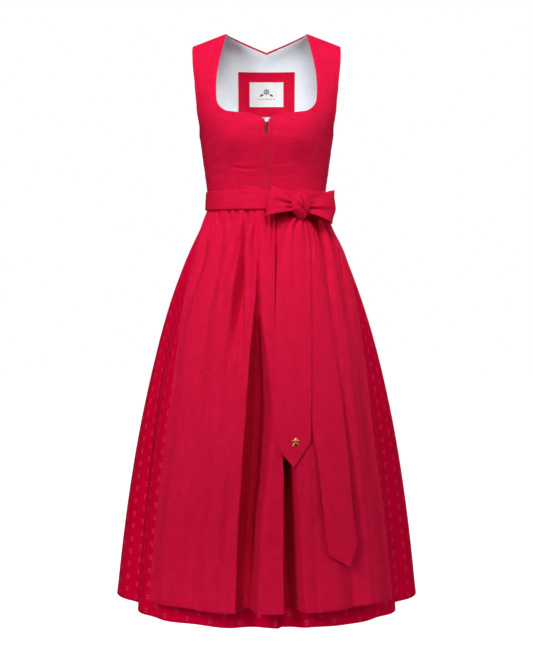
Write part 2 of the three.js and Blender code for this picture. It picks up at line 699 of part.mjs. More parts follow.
// The apron, by gather number counted from the wearer's right edge, and height.
function apronPoint(gather, z) {
  const angle = degrees(apronAngle(gather, z));
  const across = gather / APRON_GATHERS;
  const kept = APRON_FOLDS.reduce((share, fold) => {
    const down = (fold.from - z) / (fold.from - fold.to);
    if (down < 0) return share;
    const fades = fold.to > APRON_HEM_Z ? 1 - smoothStep(down, 0.7, 1.3) : 1;
    const starts = fold.from < APRON_TOP_Z ? smoothStep(down, 0, 0.5) : 1;
    const off = across - mix(fold.top, fold.end, down);
    const side = (off < 0 ? fold.rightSide : fold.leftSide) * mix(0.45, 1, down);
    return share * (1 - fold.depth * fades * starts * bell(off / side));
  }, 1);
  const arch = 0.3 + 0.7 * Math.sqrt(Math.sin(Math.PI * THREE.MathUtils.clamp(across, 0.03, 0.97)));
  const ridge = apronLift(z) * arch * kept;
  const sunk = DEEP_FOLDS.reduce((sum, fold) => sum + (ridge + fold.depth(z)) * inFold(fold, angle, z, 0), 0);
  return skirtForm(angle, z, APRON_CLEARANCE + ridge - sunk + apronGather(z) * (1 - gatherWave(gather)));
}
function apron() {
  const columns = APRON_GATHERS * COLUMNS_A_GATHER;
  const grid = APRON_ROWS.toReversed().map((z) =>
    count(columns + 1).map((column) => [(APRON_GATHERS * column) / columns, z]),
  );
  return clothPanel(apronPoint, grid);
}

// ---- Bow ----------------------------------------------------------------------------------------

// The bow's loops lie on an upright sheet in front of the band; x runs along it.
const BOW = { width: 166, depth: 131, knotX: 70, knotZ: -364, lean: 0.2 };
const KNOT = { width: 33, height: 47, depth: 24, taper: 0.12, power: 3.2 };
const LOOPS = {
  right: { startX: 54.3, endX: 1.5, endZ: -352, halfHeight: 33, slant: 3.5, plump: 15 },
  left: { startX: 87.5, endX: 143, endZ: -362, halfHeight: 35.5, slant: 6, plump: 15 },
};
const LOOP_PINCH = 9; // half height of a loop where it enters the knot
const LOOP_PARTING = 2.4; // half the distance between its two layers there
const LOOP_SWELL = 0.85; // how evenly a loop's material is spread along it: below 1, rounder at its end

const bowAngle = (x) => Math.asin(x / BOW.width);
function bowPoint(x, z, outset) {
  return ellipsePoint(BOW.width, BOW.depth, bowAngle(x), z, outset + BOW.lean * (BOW.knotZ - z));
}

// A loop's surface, by position along the ribbon (0 and 1 at the knot) and across it (-1 to 1).
function loopPoint({ endX, endZ, halfHeight, slant, plump }, along, across) {
  const reach = Math.sin(Math.PI * along) ** LOOP_SWELL;
  const x = mix(BOW.knotX, endX + slant * across, reach);
  const layer = (plump / 2) * Math.sin(2 * Math.PI * along) + LOOP_PARTING * Math.cos(Math.PI * along);
  const open = smoothStep(reach, 0, 0.95);
  const crease = 2.2 * (1 - open) * Math.cos(3 * Math.PI * across) * Math.sign(0.5 - along);
  const z = mix(BOW.knotZ, endZ, reach) + across * mix(LOOP_PINCH, halfHeight, open);
  return bowPoint(x, z, layer + crease);
}
function loop(sizes) {
  const STEPS = 16;
  const COLUMNS = 5;
  const startReach = (sizes.startX - BOW.knotX) / (sizes.endX - BOW.knotX);
  const start = Math.asin(startReach ** (1 / LOOP_SWELL)) / Math.PI;
  const place = (along, across, offset) => {
    const step = 1e-3;
    const point = loopPoint(sizes, along, across);
    const forward = loopPoint(sizes, along + step, across).sub(loopPoint(sizes, along - step, across));
    const upward = loopPoint(sizes, along, across + step).sub(loopPoint(sizes, along, across - step));
    return point.addScaledVector(forward.cross(upward).normalize(), offset);
  };
  const layer = (offset) =>
    count(STEPS + 1).map((step) =>
      count(COLUMNS + 1).map((column) =>
        place(mix(start, 1 - start, step / STEPS), mix(-1, 1, column / COLUMNS), offset),
      ),
    );
  return wall(layer(RIBBON_WALL / 2), layer(-RIBBON_WALL / 2));
}

// The knot: a full, slightly tapered wrap with shallow creases.
function knot() {
  const ROUND = 20;
  const RINGS = 10;
  const centre = bowPoint(BOW.knotX, BOW.knotZ, 0);
  const turn = bowAngle(BOW.knotX);
  const points = [new THREE.Vector3(0, 0, -1), new THREE.Vector3(0, 0, 1)];
  for (const ring of count(RINGS - 1)) {
    const height = -Math.cos((Math.PI * (ring + 1)) / RINGS);
    const radius = (1 - Math.abs(height) ** KNOT.power) ** (1 / KNOT.power);
    for (const step of count(ROUND)) {
      const angle = (2 * Math.PI * step) / ROUND;
      const crease = 1 + 0.035 * Math.cos(5 * angle + 1.4 * height);
      const reach = radius * crease;
      points.push(new THREE.Vector3(reach * Math.sin(angle), -reach * Math.cos(angle), height));
    }
  }
  const at = (ring, step) => 2 + ring * ROUND + (step % ROUND);
  const faces = [];
  for (const step of count(ROUND)) {
    faces.push(0, at(0, step + 1), at(0, step), 1, at(RINGS - 2, step), at(RINGS - 2, step + 1));
    for (const ring of count(RINGS - 2)) {
      faces.push(at(ring, step), at(ring, step + 1), at(ring + 1, step + 1));
      faces.push(at(ring, step), at(ring + 1, step + 1), at(ring + 1, step));
    }
  }
  const size = new THREE.Vector3(KNOT.width / 2, KNOT.depth / 2, KNOT.height / 2);
  return facingOut(
    points.map((point) => {
      const taper = 1 - KNOT.taper * point.z;
      return point.multiply(size).multiply(new THREE.Vector3(taper, taper, 1));
    }),
    faces,
  )
    .rotateZ(turn)
    .translate(centre.x, centre.y, centre.z);
}

// Edges of the two tails, from the corners of each point up to the knot. A point drops by tip, at the
// share tipAt of its width, below the line between its corners, which rises by cornerRise.
const RIGHT_TAIL = {
  rows: [
    { z: -851, inner: 22, outer: 88.5 },
    { z: -786, inner: 17.5, outer: 89.5 },
    { z: -703, inner: 18, outer: 91 },
    { z: -602, inner: 18.5, outer: 92.5 },
    { z: -500, inner: 21.5, outer: 91.5 },
    { z: -437, inner: 29.5, outer: 90 },
    { z: -405, inner: 38, outer: 86 },
    { z: -384, inner: 56, outer: 82 },
  ],
  tip: 43,
  tipAt: 0.49,
  cornerRise: 11,
  outset: RIBBON_WALL + 1.8,
};
const LEFT_TAIL = {
  rows: [
    { z: -1061, inner: 123.8, outer: 185 },
    { z: -970, inner: 113, outer: 173 },
    { z: -880, inner: 103, outer: 166 },
    { z: -786, inner: 88, outer: 156 },
    { z: -714, inner: 77, outer: 147 },
    { z: -660, inner: 68, outer: 137 },
    { z: -560, inner: 62, outer: 121 },
    { z: -500, inner: 70, outer: 113 },
    { z: -437, inner: 81, outer: 110 },
    { z: -405, inner: 74, outer: 99 },
    { z: -384, inner: 66, outer: 87 },
  ],
  tip: 39,
  tipAt: 0.71,
  cornerRise: 18.5,
  outset: 0,
};
// The surface that the tails lie on: the apron's ridges, with the tails' own layer above it. Near the
// knot the tails stand out to enter it.
const TAIL_STAND = { out: 12, length: 60 };
function tailPoint(x, z, outset) {
  const stand = TAIL_STAND.out * bell((BOW.knotZ - z) / TAIL_STAND.length);
  const off = APRON_CLEARANCE + apronLift(z) + apronGather(z) + 0.5 + RIBBON_WALL + outset + stand;
  const width = skirtSize(SKIRT.width, z) + off;
  const depth = skirtSize(SKIRT.front, z) + off;
  return new THREE.Vector3(x, -depth * Math.sqrt(1 - (x / width) ** 2), z);
}
function tail({ rows, tip, tipAt, cornerRise, outset }) {
  const COLUMNS = 6;
  const ROWS = 11;
  const innerEdge = curve(rows, "z", "inner");
  const outerEdge = curve(rows, "z", "outer");
  const bottom = rows[0].z;
  // The knot's underside above a point of the tail's upper edge.
  const top = (across) => {
    const x = mix(innerEdge(BOW.knotZ), outerEdge(BOW.knotZ), across) - BOW.knotX;
    const u = Math.abs(x) / ((KNOT.width / 2) * (1 + KNOT.taper));
    return BOW.knotZ - (KNOT.height / 2) * (1 - u ** KNOT.power) ** (1 / KNOT.power) - 2 * SEAM_GAP;
  };
  const surface = (across, z) => tailPoint(mix(innerEdge(z), outerEdge(z), across), z, outset);
  const grid = count(ROWS + 1).map((row) =>
    count(COLUMNS + 1).map((column) => {
      const half = (2 * column) / COLUMNS;
      const across = half < 1 ? half * tipAt : mix(tipAt, 1, half - 1);
      const point = tip * Math.min(across / tipAt, (1 - across) / (1 - tipAt));
      return [across, mix(bottom + cornerRise * across - point, top(across), row / ROWS)];
    }),
  );
  return panel({ surface, grid, thickness: RIBBON_WALL, steps: [1e-3, 0.5] });
}

// A small metal blossom sewn to the right tail.
const CHARM = { x: 57.5, z: -839, radius: 10, petals: 5, thickness: 2 };
function charm() {
  const STEPS = 40;
  const shape = new THREE.Shape(
    count(STEPS).map((step) => {
      const angle = (2 * Math.PI * step) / STEPS;
      const radius = CHARM.radius * (0.8 + 0.2 * Math.cos(CHARM.petals * angle));
      return new THREE.Vector2(radius * Math.sin(angle), radius * Math.cos(angle));
    }),
  );
  const surface = (x, z) => tailPoint(x, z, RIGHT_TAIL.outset);
  const normal = normalOf(surface, CHARM.x, CHARM.z, 0.5, 0.5);
  const seat = surface(CHARM.x, CHARM.z).addScaledVector(normal, 0.6);
  return new THREE.ExtrudeGeometry(shape, { depth: CHARM.thickness, bevelEnabled: false })
    .applyQuaternion(new THREE.Quaternion().setFromUnitVectors(new THREE.Vector3(0, 0, 1), normal))
    .translate(seat.x, seat.y, seat.z);
}

// ---- Assembly -----------------------------------------------------------------------------------

const cloth = (color, roughness) => new THREE.MeshStandardMaterial({ color, roughness, metalness: 0 });
const linen = cloth(0xc41a3e, 0.85);
const jacquard = cloth(0xa80329, 0.6);
const lining = cloth(0xcac8ce, 0.8);
const labelCloth = cloth(0xe8e6e4, 0.6);
const zipTape = cloth(0xa01030, 0.7);
const lacquer = new THREE.MeshStandardMaterial({ color: 0xb0405a, roughness: 0.35, metalness: 0.4 });
const brass = new THREE.MeshStandardMaterial({ color: 0xcfa25a, roughness: 0.3, metalness: 0.9 });

const dirndl = new THREE.Group();
function add(name, geometry, material) {
  const mesh = new THREE.Mesh(geometry, material);
  mesh.name = name;
  dirndl.add(mesh);
}

for (const [name, side] of [["right", -1], ["left", 1]]) {
  add(`bodice_front_${name}`, frontPanel(side), linen);
  add(`bodice_side_front_${name}`, sideFrontPanel(side), linen);
  add(`bodice_back_${name}`, backPanel(side), linen);
  add(`lining_back_${name}`, backLining(side), lining);
}
add("label_patch", insideRectangle(PATCH), linen);
add("label", insideRectangle(LABEL), labelCloth);

add("zip_chain", centreStrip(2.2, CHAIN_OUTSET, CHAIN_WALL), zipTape);
add("zip_tape", centreStrip(12, TAPE_OUTSET, 0.8), zipTape);
add("zip_slider", slider(), lacquer);
add("zip_tab", pullTab(), lacquer);

add("skirt_front", skirtPanel(-SKIRT_GATHERS / 4, SKIRT_GATHERS / 4), jacquard);
add("skirt_back", skirtPanel(SKIRT_GATHERS / 4, (3 * SKIRT_GATHERS) / 4), jacquard);

add("apron_band", bandHalf(-Math.PI / 2, Math.PI / 2), linen);
add("ribbon_back", bandHalf(Math.PI / 2, (3 * Math.PI) / 2), linen);
add("apron", apron(), linen);

add("bow_loop_right", loop(LOOPS.right), linen);
add("bow_loop_left", loop(LOOPS.left), linen);
add("bow_knot", knot(), linen);
add("ribbon_tail_right", tail(RIGHT_TAIL), linen);
add("ribbon_tail_left", tail(LEFT_TAIL), linen);
add("ribbon_charm", charm(), brass);

export default dirndl;
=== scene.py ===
"""The looks of a dirndl: thin cloth shells with folds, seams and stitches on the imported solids.

Tables and surfaces are in millimetres, meshes in metres. +Z is up, the front faces -Y, and "left" and
"right" are the wearer's. A surface is a function of two coordinates and gives its points and its cloth's
outside; every panel is a closed shell on such a surface, moved in and out by its creases.
"""

import math

import bmesh
import bpy
import numpy as np
from mathutils import Matrix, Vector

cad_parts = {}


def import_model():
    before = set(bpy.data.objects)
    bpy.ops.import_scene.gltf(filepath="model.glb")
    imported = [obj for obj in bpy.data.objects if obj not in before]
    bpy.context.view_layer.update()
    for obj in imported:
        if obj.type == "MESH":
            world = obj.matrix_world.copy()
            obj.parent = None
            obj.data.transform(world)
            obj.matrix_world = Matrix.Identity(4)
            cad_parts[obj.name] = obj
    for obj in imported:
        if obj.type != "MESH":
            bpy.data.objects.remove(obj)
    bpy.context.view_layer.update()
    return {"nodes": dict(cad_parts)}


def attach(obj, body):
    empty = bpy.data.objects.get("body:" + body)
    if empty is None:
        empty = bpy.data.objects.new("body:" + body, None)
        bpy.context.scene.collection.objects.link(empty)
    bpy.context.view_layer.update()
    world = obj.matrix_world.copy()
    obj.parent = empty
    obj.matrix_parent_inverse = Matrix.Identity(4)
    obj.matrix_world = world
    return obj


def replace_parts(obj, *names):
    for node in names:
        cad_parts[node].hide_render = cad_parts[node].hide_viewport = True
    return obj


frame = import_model()
scene = bpy.context.scene

MM = 0.001
SIDES = ((-1, "right"), (1, "left"))  # the sign of x on the wearer's sides
CLOTH = 1.1  # thickness of a single layer of cloth

# ---- Driving dimensions, as the solids have them ------------------------------------------------

SEAM_GAP = 0.3
SEEN_GAP = 0.08  # between two sewn panels, as it shows
BODICE_WALL = 1.6
SKIRT_WALL = 1.4
RIBBON_WALL = 1.6
WAIST_Z = -350
UNDERARM_Z = -208
HEM_Z = -1210
APRON_HEM_Z = -1170
BAND_TOP_Z = -330
BAND_BOTTOM_Z = -369
NECK_HALF_WIDTH = 88.4
SHOULDER_SLOPE = math.tan(math.radians(21))
SHOULDER_SLOPE_FROM_Z = -135
BACK_NECK_Z = -16
SHOULDER_Z = 16


def table(columns, rows):
    """Named columns, as arrays."""
    return dict(zip(columns.split(), np.array(rows, float).T))


# Sections of the torso: half width, and depth before and behind the side seams.
TORSO = table(
    "z width front back",
    [
        (WAIST_Z, 127, 97, 88), (-330, 129.5, 98, 88), (-300, 133.5, 101, 91),
        (-270, 137.5, 107, 95), (-240, 141.5, 114, 99), (-215, 145, 118, 102),
        (-200, 148.5, 118, 103.5), (-180, 156, 115.5, 105), (-160, 163, 110, 105),
        (-135, 168.5, 101, 104), (-105, 175.5, 88, 101), (-75, 181.5, 73, 95), (-48, 186, 57.5, 86),
        (-24, 189, 42.5, 73), (-5, 191, 29, 55), (8, 192, 16.5, 33), (14.5, 192, 7, 14),
        (SHOULDER_Z, 192, SEAM_GAP / 2, SEAM_GAP / 2),
    ],
)
CUP = {"x": 70, "z": -214, "rise": 9, "half_width": 38, "half_height": 40}
PRINCESS_SEAM = table(
    "z x",
    [
        (WAIST_Z, 60), (-330, 61.7), (-298, 69), (-273, 82), (-245, 96.5), (-218, 105), (-180, 106),
        (-160, 103.5), (-149.6, 100.5),
    ],
)
STRAP_EDGE = table(
    "z x",
    [
        (-149.6, 100.5), (-142, 105), (-134, 107.3), (-109, 108.5), (-77, 107), (-45, 102),
        (-14.4, 95), (5, 90.5), (SHOULDER_Z, NECK_HALF_WIDTH),
    ],
)
NECKLINE = table(
    "x z",
    [
        (0, -184.5), (4.2, -181), (12.9, -175.5), (23.7, -171.4), (39.8, -167), (58, -165),
        (71, -163.5), (85.4, -160.7), (95, -155), (100.5, -149.6),
    ],
)
# Half the gap between the two fronts.
FRONT_OPENING = table(
    "z x",
    [(WAIST_Z, 0.3), (-216, 0.3), (-212, 1.2), (-205, 2.3), (-197, 2.9), (-189, 3.3), (-180, 4.8)],
)
# Angle of the armhole's edge from the centre front and from the centre back, in degrees.
ARMHOLE = table(
    "z front back",
    [
        (UNDERARM_Z, 89, 89), (-203, 82, 82), (-197, 77, 77), (-190, 73, 73), (-178, 69.8, 69),
        (-160, 67.2, 65.5), (-135, 64.6, 62), (-105, 61.8, 59.5), (-75, 59.6, 58.2),
        (-24, 58.1, 57.6), (SHOULDER_Z, 57, 57),
    ],
)
SEAM_TOP_Z = PRINCESS_SEAM["z"][-1]

# ---- Small helpers ------------------------------------------------------------------------------


def curve(rows, at, value):
    """A smooth monotone curve through two columns of a table."""
    xs, ys = rows[at], rows[value]
    if xs[0] > xs[-1]:
        xs, ys = xs[::-1], ys[::-1]
    slopes = np.diff(ys) / np.diff(xs)
    before, after = slopes[:-1], slopes[1:]
    turns = before * after <= 0
    middle = np.where(turns, 0, 2 * before * after / np.where(turns, 1, before + after))
    tangents = np.concatenate([slopes[:1], middle, slopes[-1:]])

    def value_at(x):
        x = np.clip(x, xs[0], xs[-1])
        i = np.clip(np.searchsorted(xs, x, side="right") - 1, 0, len(xs) - 2)
        span = xs[i + 1] - xs[i]
        t = (x - xs[i]) / span
        rise = (1 + 2 * t) * (1 - t) ** 2 * ys[i] + t * t * (3 - 2 * t) * ys[i + 1]
        return rise + span * (t * (1 - t) ** 2 * tangents[i] - t * t * (1 - t) * tangents[i + 1])

    return value_at


def mix(a, b, share):
    return a + (b - a) * share


def smooth(x, start, end):
    t = np.clip((x - start) / (end - start), 0, 1)
    return t * t * (3 - 2 * t)


def bell(x):
    return np.exp(-x * x)


def points(x, y, z):
    return np.stack(np.broadcast_arrays(x, y, z), axis=-1).astype(float)


def unit(vectors):
    return vectors / np.maximum(np.linalg.norm(vectors, axis=-1, keepdims=True), 1e-12)


def moved(start, direction, distance):
    return start + direction * np.asarray(distance, float)[..., None]


def spaced(count, gathering=0.6):
    """Shares from 0 to 1, closer together towards both ends."""
    even = np.linspace(0, 1, count)
    return mix(even, 0.5 - 0.5 * np.cos(np.pi * even), gathering)


def normals(surface, a, b, step_a, step_b):
    along_a = surface(a + step_a, b) - surface(a - step_a, b)
    along_b = surface(a, b + step_b) - surface(a, b - step_b)
    return unit(np.cross(along_a, along_b))


def waver(x, y, length_x, length_y, seed, waves=7):
    """Smooth uneven relief from -1 to 1, with features of about these lengths along x and y."""
    random = np.random.default_rng(seed)
    total = np.zeros(np.broadcast(x, y).shape)
    for _ in range(waves):
        turn = random.uniform(0, 2 * np.pi)
        size = random.uniform(0.6, 1.5)
        phase = random.uniform(0, 2 * np.pi)
        along = x / length_x * math.cos(turn) + y / length_y * math.sin(turn)
        total += np.sin(2 * np.pi * along / size + phase)
    return total / math.sqrt(waves) / 1.6


def creases(x, z, rows):
    """Relief of soft troughs (negative depth) and ridges, each along a bowed line across a panel."""
    relief = np.zeros(np.broadcast(x, z).shape)
    for x0, z0, x1, z1, bow, half, depth in rows:
        length = math.hypot(x1 - x0, z1 - z0)
        along = ((x - x0) * (x1 - x0) + (z - z0) * (z1 - z0)) / length**2
        off = ((x - x0) * (z1 - z0) - (z - z0) * (x1 - x0)) / length
        off = off - bow * 4 * along * (1 - along)
        ends = smooth(along, -0.05, 0.3) * (1 - smooth(along, 0.55, 1.1))
        relief += depth * ends * bell(off / (half * mix(0.7, 1.3, np.clip(along, 0, 1))))
    return relief


# ---- Meshes -------------------------------------------------------------------------------------


def add_piece(name, mesh, material, body="dress"):
    """A mesh as a piece that rides on a body."""
    mesh.materials.append(material)
    piece = bpy.data.objects.new(name, mesh)
    scene.collection.objects.link(piece)
    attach(piece, body)
    return piece


def add_mesh(name, vertices, faces, uv, material):
    """A smooth mesh from points in millimetres, on the dress."""
    mesh = bpy.data.meshes.new(name)
    mesh.from_pydata((np.asarray(vertices) * MM).tolist(), [], [list(face) for face in faces])
    mesh.polygons.foreach_set("use_smooth", np.ones(len(mesh.polygons), bool))
    corners = np.empty(len(mesh.loops), np.int32)
    mesh.loops.foreach_get("vertex_index", corners)
    layer = mesh.uv_layers.new(name="cloth")
    layer.data.foreach_set("uv", np.asarray(uv, np.float32)[corners].ravel())
    return add_piece(name, mesh, material)


def signed_volume(vertices, quads):
    a, b, c, d = (vertices[quads[:, k]] for k in range(4))
    return np.einsum("ij,ij->", a, np.cross(b, c)) + np.einsum("ij,ij->", a, np.cross(c, d))


RIM_ANGLES = np.radians([40, 90, 140])


def shell(name, outer, inner, uv, material):
    """A closed shell between two grids of points, with round edges. uv is in metres of cloth."""
    rows, columns = outer.shape[:2]
    layer = rows * columns
    index = np.arange(layer).reshape(rows, columns)
    quads = np.stack([index[:-1, :-1], index[:-1, 1:], index[1:, 1:], index[1:, :-1]], -1).reshape(-1, 4)
    ring = np.concatenate([index[0, :-1], index[:-1, -1], index[-1, :0:-1], index[:0:-1, 0]])
    inside_row = np.clip(ring // columns, 1, rows - 2)
    inside_column = np.clip(ring % columns, 1, columns - 2)
    inside = index[inside_row, inside_column]
    outer, inner = outer.reshape(-1, 3), inner.reshape(-1, 3)
    middle = (outer + inner) / 2
    half = (outer - inner)[ring] / 2
    away = unit(middle[ring] - middle[inside]) * np.linalg.norm(half, axis=1, keepdims=True)
    rims = [middle[ring] + half * math.cos(angle) + away * math.sin(angle) for angle in RIM_ANGLES]
    rim_rings = [2 * layer + k * len(ring) + np.arange(len(ring)) for k in range(len(rims))]
    loops = [ring, *rim_rings, ring + layer]
    faces = [quads, quads[:, ::-1] + layer]
    for upper, lower in zip(loops, loops[1:]):
        faces.append(np.stack([np.roll(upper, -1), upper, lower, np.roll(lower, -1)], -1))
    faces = np.concatenate(faces)
    vertices = np.concatenate([outer, inner, *rims])
    if signed_volume(vertices, faces) < 0:
        faces = faces[:, ::-1]
    flat = np.asarray(uv).reshape(-1, 2)
    uv = np.concatenate([flat, flat] + [flat[ring]] * len(rims))
    return add_mesh(name, vertices, faces, uv, material)


def arc_uv(grid):
    """Cloth coordinates of a grid of points, in metres: lengths along its rows and columns."""
    along_row = np.linalg.norm(np.diff(grid, axis=1), axis=-1)
    along_column = np.linalg.norm(np.diff(grid, axis=0), axis=-1)
    u = np.concatenate([np.zeros((grid.shape[0], 1)), np.cumsum(along_row, axis=1)], axis=1)
    v = np.concatenate([np.zeros((1, grid.shape[1])), np.cumsum(along_column, axis=0)], axis=0)
    return np.stack([u, v], -1) * MM


def cloth_shell(name, base, normal, height, thickness, material):
    """A layer of cloth whose outside stands at a height over a grid of points."""
    outer = moved(base, normal, height)
    inner = moved(base, normal, height - thickness)
    return shell(name, outer, inner, arc_uv(base), material)


def edge_roll(distance, depth, width=1.6):
    """How a panel's outside rolls in at a seam, by distance from it."""
    return -depth * bell(distance / width)


def from_edges(grid):
    """Distance of each point of a grid from its first and last column, and first and last row."""
    across, along = np.moveaxis(arc_uv(grid) / MM, -1, 0)
    return across, across[:, -1:] - across, along, along[-1:] - along


STITCH_RINGS = [(0, 0.35, 0.1), (0.14, 0.9, 0.5), (0.5, 1, 0.75), (0.86, 0.9, 0.5), (1, 0.35, 0.1)]
STITCH_SIDES = 6


def stitches(name, path, outwards, material, length, gap, radius):
    """A row of stitches along a path, each a short rounded thread pulled down at its ends."""
    path, outwards = np.asarray(path, float), np.asarray(outwards, float)
    run = np.concatenate([[0], np.cumsum(np.linalg.norm(np.diff(path, axis=0), axis=1))])
    starts = np.arange(0, run[-1] - length, length + gap)

    def at(where, values):
        return np.stack([np.interp(where, run, values[:, k]) for k in range(3)], -1)

    out = unit(at(starts + length / 2, outwards))
    direction = unit(at(starts + length, path) - at(starts, path))
    side = np.cross(direction, out)
    turns = 2 * np.pi * np.arange(STITCH_SIDES) / STITCH_SIDES
    rings = []
    for share, thick, rise in STITCH_RINGS:
        centre = at(starts + share * length, path) + out * radius * rise
        round_it = np.cos(turns)[:, None, None] * side + np.sin(turns)[:, None, None] * out
        rings.append(centre + round_it * radius * thick)
    vertices = np.stack(rings).transpose(2, 0, 1, 3).reshape(-1, 3)
    sides = np.arange(STITCH_SIDES)
    one = []
    for ring in range(len(STITCH_RINGS) - 1):
        low, high = ring * STITCH_SIDES, (ring + 1) * STITCH_SIDES
        for a, b in zip(sides, np.roll(sides, -1)):
            one.append([low + a, low + b, high + b, high + a])
    last = (len(STITCH_RINGS) - 1) * STITCH_SIDES
    caps = [list(sides[::-1]), list(last + sides)]
    each = len(STITCH_RINGS) * STITCH_SIDES
    faces = [[each * k + v for v in face] for k in range(len(starts)) for face in one + caps]
    return add_mesh(name, vertices, faces, vertices[:, :2] * MM, material)


def joined(name, pieces):
    """Several meshes as one piece."""
    with bpy.context.temp_override(active_object=pieces[0], selected_editable_objects=pieces):
        bpy.ops.object.join()
    pieces[0].name = name
    return pieces[0]


# ---- Materials ----------------------------------------------------------------------------------


def linear(red, green, blue):
    """A colour given as on screen, from 0 to 255, as a shader takes it."""
    shares = (red / 255, green / 255, blue / 255)
    return (*(((c + 0.055) / 1.055) ** 2.4 if c > 10 / 255 else c / 12.92 for c in shares), 1)


WAVE_PERIOD = 0.314  # of a wave texture at scale 1, in metres


class Graph:
    """The nodes of one material, made and joined by short calls."""

    def __init__(self, name):
        self.material = bpy.data.materials.new(name)
        self.material.use_nodes = True
        self.tree = self.material.node_tree
        self.shader = self.tree.nodes["Principled BSDF"]

    def node(self, kind, inputs=(), **settings):
        node = self.tree.nodes.new("ShaderNode" + kind)
        for key, value in settings.items():
            setattr(node, key, value)
        for key, value in dict(inputs).items():
            self.join(value, node.inputs[key])
        return node

    def join(self, value, socket):
        if isinstance(value, bpy.types.NodeSocket):
            self.tree.links.new(value, socket)
        else:
            socket.default_value = value

    def math(self, operation, *values):
        return self.node("Math", enumerate(values), operation=operation).outputs[0]

    def mix(self, factor, a, b):
        """A colour between two: a mix node's sockets 6, 7 and 2 are its colours."""
        return self.node("Mix", {"Factor": factor, 6: a, 7: b}, data_type="RGBA").outputs[2]

    def span(self, value, low, high, to_low=0.0, to_high=1.0):
        inputs = {"Value": value, "From Min": low, "From Max": high, "To Min": to_low, "To Max": to_high}
        return self.node("MapRange", inputs, interpolation_type="SMOOTHSTEP").outputs[0]

    def cloth(self):
        """The cloth coordinates, in metres."""
        return self.node("UVMap", uv_map="cloth").outputs["UV"]

    def scaled(self, vector, x, y):
        return self.node("VectorMath", {0: vector, 1: (x, y, 1)}, operation="MULTIPLY").outputs[0]

    def noise(self, vector, x_length, y_length):
        """Noise with features of these lengths, in metres."""
        inputs = {"Vector": self.scaled(vector, 1 / x_length, 1 / y_length), "Scale": 1.0, "Detail": 2.0}
        return self.node("TexNoise", inputs).outputs["Fac"]

    def threads(self, vector, pitch, direction):
        """Parallel threads: a sine across them, from 0 to 1."""
        inputs = {"Vector": vector, "Scale": WAVE_PERIOD / pitch}
        return self.node("TexWave", inputs, bands_direction=direction).outputs["Fac"]

    def weave(self, vector, pitch):
        """The relief of a plain weave, from 0 to 1."""
        warp = self.threads(vector, 2 * pitch, "X")
        weft = self.threads(vector, 2 * pitch, "Y")
        over = self.math("MULTIPLY", warp, weft)
        under = self.math("MULTIPLY", self.math("SUBTRACT", 1.0, warp), self.math("SUBTRACT", 1.0, weft))
        return self.math("ADD", over, under)

    def bump(self, height, distance, strength):
        inputs = {"Height": height, "Distance": distance, "Strength": strength}
        return self.node("Bump", inputs).outputs["Normal"]

    def finish(self, **values):
        for key, value in values.items():
            self.join(value, self.shader.inputs[key.replace("_", " ")])
        return self.material


def linen(name, dark, light, seed_shift=0.0):
    """Plain woven linen: uneven threads streak its colour both ways, and it blooms at grazing light."""
    graph = Graph(name)
    shift = {0: graph.cloth(), 1: (seed_shift, seed_shift, 0)}
    place = graph.node("VectorMath", shift, operation="ADD").outputs[0]
    weft = graph.noise(place, 0.045, 0.0011)
    warp = graph.noise(place, 0.0011, 0.06)
    cloud = graph.noise(place, 0.03, 0.03)
    streaks = graph.math("MULTIPLY_ADD", weft, 0.55, graph.math("MULTIPLY", warp, 0.35))
    tone = graph.math("ADD", streaks, graph.math("MULTIPLY", cloud, 0.3))
    shade = graph.span(tone, 0.38, 0.82)
    weave = graph.weave(place, 0.00055)
    height = graph.math("MULTIPLY_ADD", streaks, 1.6, weave)
    return graph.finish(
        Base_Color=graph.mix(shade, dark, light),
        Roughness=graph.span(tone, 0.3, 0.9, 0.62, 0.78),
        Normal=graph.bump(height, 0.00012, 0.55),
        Specular_IOR_Level=0.1,
        Specular_Tint=linear(255, 150, 170),
        Sheen_Weight=0.06,
        Sheen_Roughness=0.35,
        Sheen_Tint=linear(255, 120, 145),
    )


def blossom(graph, x, y, radius, petals):
    """A blossom round the origin: 1 inside its petals, with a gap round its eye. Lengths in metres."""
    squares = graph.math("ADD", graph.math("MULTIPLY", x, x), graph.math("MULTIPLY", y, y))
    distance = graph.math("SQRT", squares)
    turn = graph.math("MULTIPLY", graph.math("ARCTAN2", x, y), float(petals))
    edge = graph.math("MULTIPLY_ADD", graph.math("COSINE", turn), 0.26 * radius, 0.74 * radius)
    outside = graph.math("DIVIDE", distance, edge)
    petal = graph.span(outside, 0.86, 1.08, 1.0, 0.0)
    from_eye = graph.math("ABSOLUTE", graph.math("SUBTRACT", distance, 0.27 * radius))
    eye = graph.span(from_eye, 0.0, 0.16 * radius)
    return graph.math("MULTIPLY", petal, eye)


def leaf(graph, x, y, centre, size, turn):
    """A pointed leaf: 1 inside it."""
    cosine, sine = math.cos(turn), math.sin(turn)
    dx = graph.math("SUBTRACT", x, centre[0])
    dy = graph.math("SUBTRACT", y, centre[1])
    along = graph.math("ADD", graph.math("MULTIPLY", dx, cosine), graph.math("MULTIPLY", dy, sine))
    across = graph.math("SUBTRACT", graph.math("MULTIPLY", dy, cosine), graph.math("MULTIPLY", dx, sine))
    along = graph.math("DIVIDE", along, size["half_length"])
    across = graph.math("DIVIDE", across, size["half_width"])
    out = graph.math("ADD", graph.math("MULTIPLY", along, along), graph.math("ABSOLUTE", across))
    return graph.span(out, 0.8, 1.1, 1.0, 0.0)


